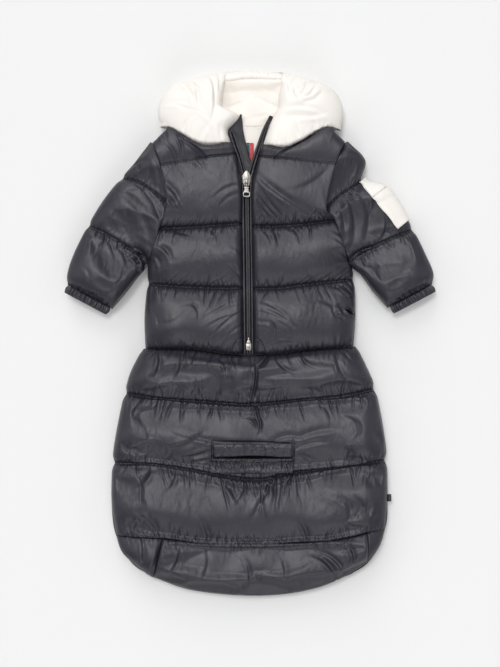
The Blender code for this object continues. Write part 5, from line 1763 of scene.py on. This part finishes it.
def pullTab():
    # an eye on the pin, a stem, a collar and an open loop, that all swing together
    x, hingeY, hingeZ = metal["x"], metal["hingeY"], metal["hingeZ"]
    deselect()
    bpy.ops.mesh.primitive_torus_add(major_radius=0.0016, minor_radius=0.00055, major_segments=32,
                                     minor_segments=10,
                                     location=(x * toMetres, hingeY * toMetres, hingeZ * toMetres))
    eye = newPart("pullEye")
    eye.rotation_euler = (0, math.pi / 2, 0)
    eye.scale = (1, 1, 3.2)
    settleTransform(eye)
    low, high = hingeZ - pull["below"], hingeZ + pull["above"]
    parts = [eye]
    parts.append(plate("pullStem", [(x + a, hingeY + b) for a, b in pull["stem"]], low, high, 0.4))
    parts.append(block("pullCollar", (x - 3.6, hingeY - 5.2, low - 0.3), (x + 3.6, hingeY - 2.4, high + 0.6),
                       0.7))
    parts.append(block("pullBand", (x - 3.9, hingeY - 8.6, low - 0.15), (x + 3.9, hingeY - 7.4, high + 0.3),
                       0.35))
    loop, window = pull["loop"], pull["window"]
    topY = hingeY - pull["stemEnd"]
    shape = bmesh.new()
    rings = []
    for outline, level in ((loop, low + 0.1), (loop, high + 0.1), (window, high + 0.1), (window, low + 0.1)):
        rings.append([shape.verts.new(((x + a) * toMetres, (topY + b) * toMetres, level * toMetres))
                      for a, b in outline])
    for first, second in zip(rings, rings[1:] + rings[:1]):
        for k in range(len(loop)):
            n = (k + 1) % len(loop)
            shape.faces.new((first[k], first[n], second[n], second[k]))
    ring = meshPiece("pullLoop", shape)
    roundEdges(ring, 0.45, 3, 30)
    parts.append(ring)
    settle(join("pullTab", parts), "metal", nickel, "zip_pull", body="pull_tab")


bottomBox = {
    "high": 34.9,
    "body": ((-7.4, -23.0), (0.9, -13.0)),  # two opposite corners
    "shoulder": [(-6.9, -13.4), (0.4, -13.4), (-1.3, -8.2), (-5.2, -8.2)],
    "pin": ((-4.4, -9.4), (-2.1, -5.0)),
    "rivet": (-3.25, -18.0),
    "rivetRadius": 1.3,
}


def zipBox():
    low, high, rivet = metal["low"], bottomBox["high"], bottomBox["rivet"]
    first, second = bottomBox["body"]
    parts = [block("boxBody", (*first, low), (*second, high), 0.8)]
    parts.append(plate("boxShoulder", bottomBox["shoulder"], low, high - 0.5, 0.6))
    first, second = bottomBox["pin"]
    parts.append(block("boxPin", (*first, low + 0.2), (*second, high - 0.9), 0.5))
    parts.append(rod("boxRivet", bottomBox["rivetRadius"], (*rivet, high - 0.3), (*rivet, high + 0.5), 0.35))
    settle(join("zipBox", parts), "metal", nickel, "zip_box")


slider()
pullTab()
zipBox()
report("metal fitted")


studio = {
    "floorShade": 0.75,
    "floorGlow": 0.055,
    "sky": 0.15,
    # each lamp: name, where it shines from, angle it fills, strength
    "lamps": [
        ("keyLight", (-0.36, 0.72, 2.38), 14, 0.95),
        ("overheadLight", (-0.10, 0.35, 2.00), 50, 0.92),
        ("headLight", (-0.50, 2.20, 1.30), 40, 1.00),
        ("footLight", (0.30, -2.20, 1.50), 40, 0.85),
        ("leftLight", (-2.20, 0.20, 1.30), 40, 0.40),
        ("rightLight", (2.20, 0.30, 1.30), 40, 0.30),
    ],
}


def stage():
    bpy.ops.mesh.primitive_plane_add(size=8, location=(0, 0, -0.0002))
    floor = newPart("floor")
    shade = studio["floorShade"]
    white = Finish("paleFloor", Roughness=0.9, Base_Color=(shade, shade, shade, 1), Specular_IOR_Level=0.0,
                   Emission_Color=(1, 1, 1, 1), Emission_Strength=studio["floorGlow"])
    floor.data.materials.append(white.material)
    world = bpy.data.worlds.new("studio")
    world.use_nodes = True
    background = world.node_tree.nodes["Background"].inputs
    background["Color"].default_value = (1, 1, 1, 1)
    background["Strength"].default_value = studio["sky"]
    bpy.context.scene.world = world
    for name, place, angle, strength in studio["lamps"]:
        bpy.ops.object.light_add(type="SUN", location=place)
        lamp = bpy.context.object
        lamp.name = name
        lamp.data.angle = math.radians(angle)
        lamp.data.energy = strength
        lamp.rotation_euler = lamp.location.to_track_quat("Z", "Y").to_euler()
    bpy.context.scene.view_settings.view_transform = "Standard"


stage()

view = {
    "height": 2.42,  # the lens above the floor
    "level": 0.02,  # the height above the floor at which the picture shows this much, from top to bottom
    "shown": 0.9328,
    "middle": (-0.0014, 0.0007),
    "sensor": 36,
}
bpy.ops.object.camera_add(location=(*view["middle"], view["height"]), rotation=(0, 0, 0))
camera = bpy.context.object
camera.data.sensor_fit = "VERTICAL"
camera.data.sensor_height = view["sensor"]
camera.data.lens = view["sensor"] * (view["height"] - view["level"]) / view["shown"]
bpy.context.scene.camera = camera
report("stage lit")
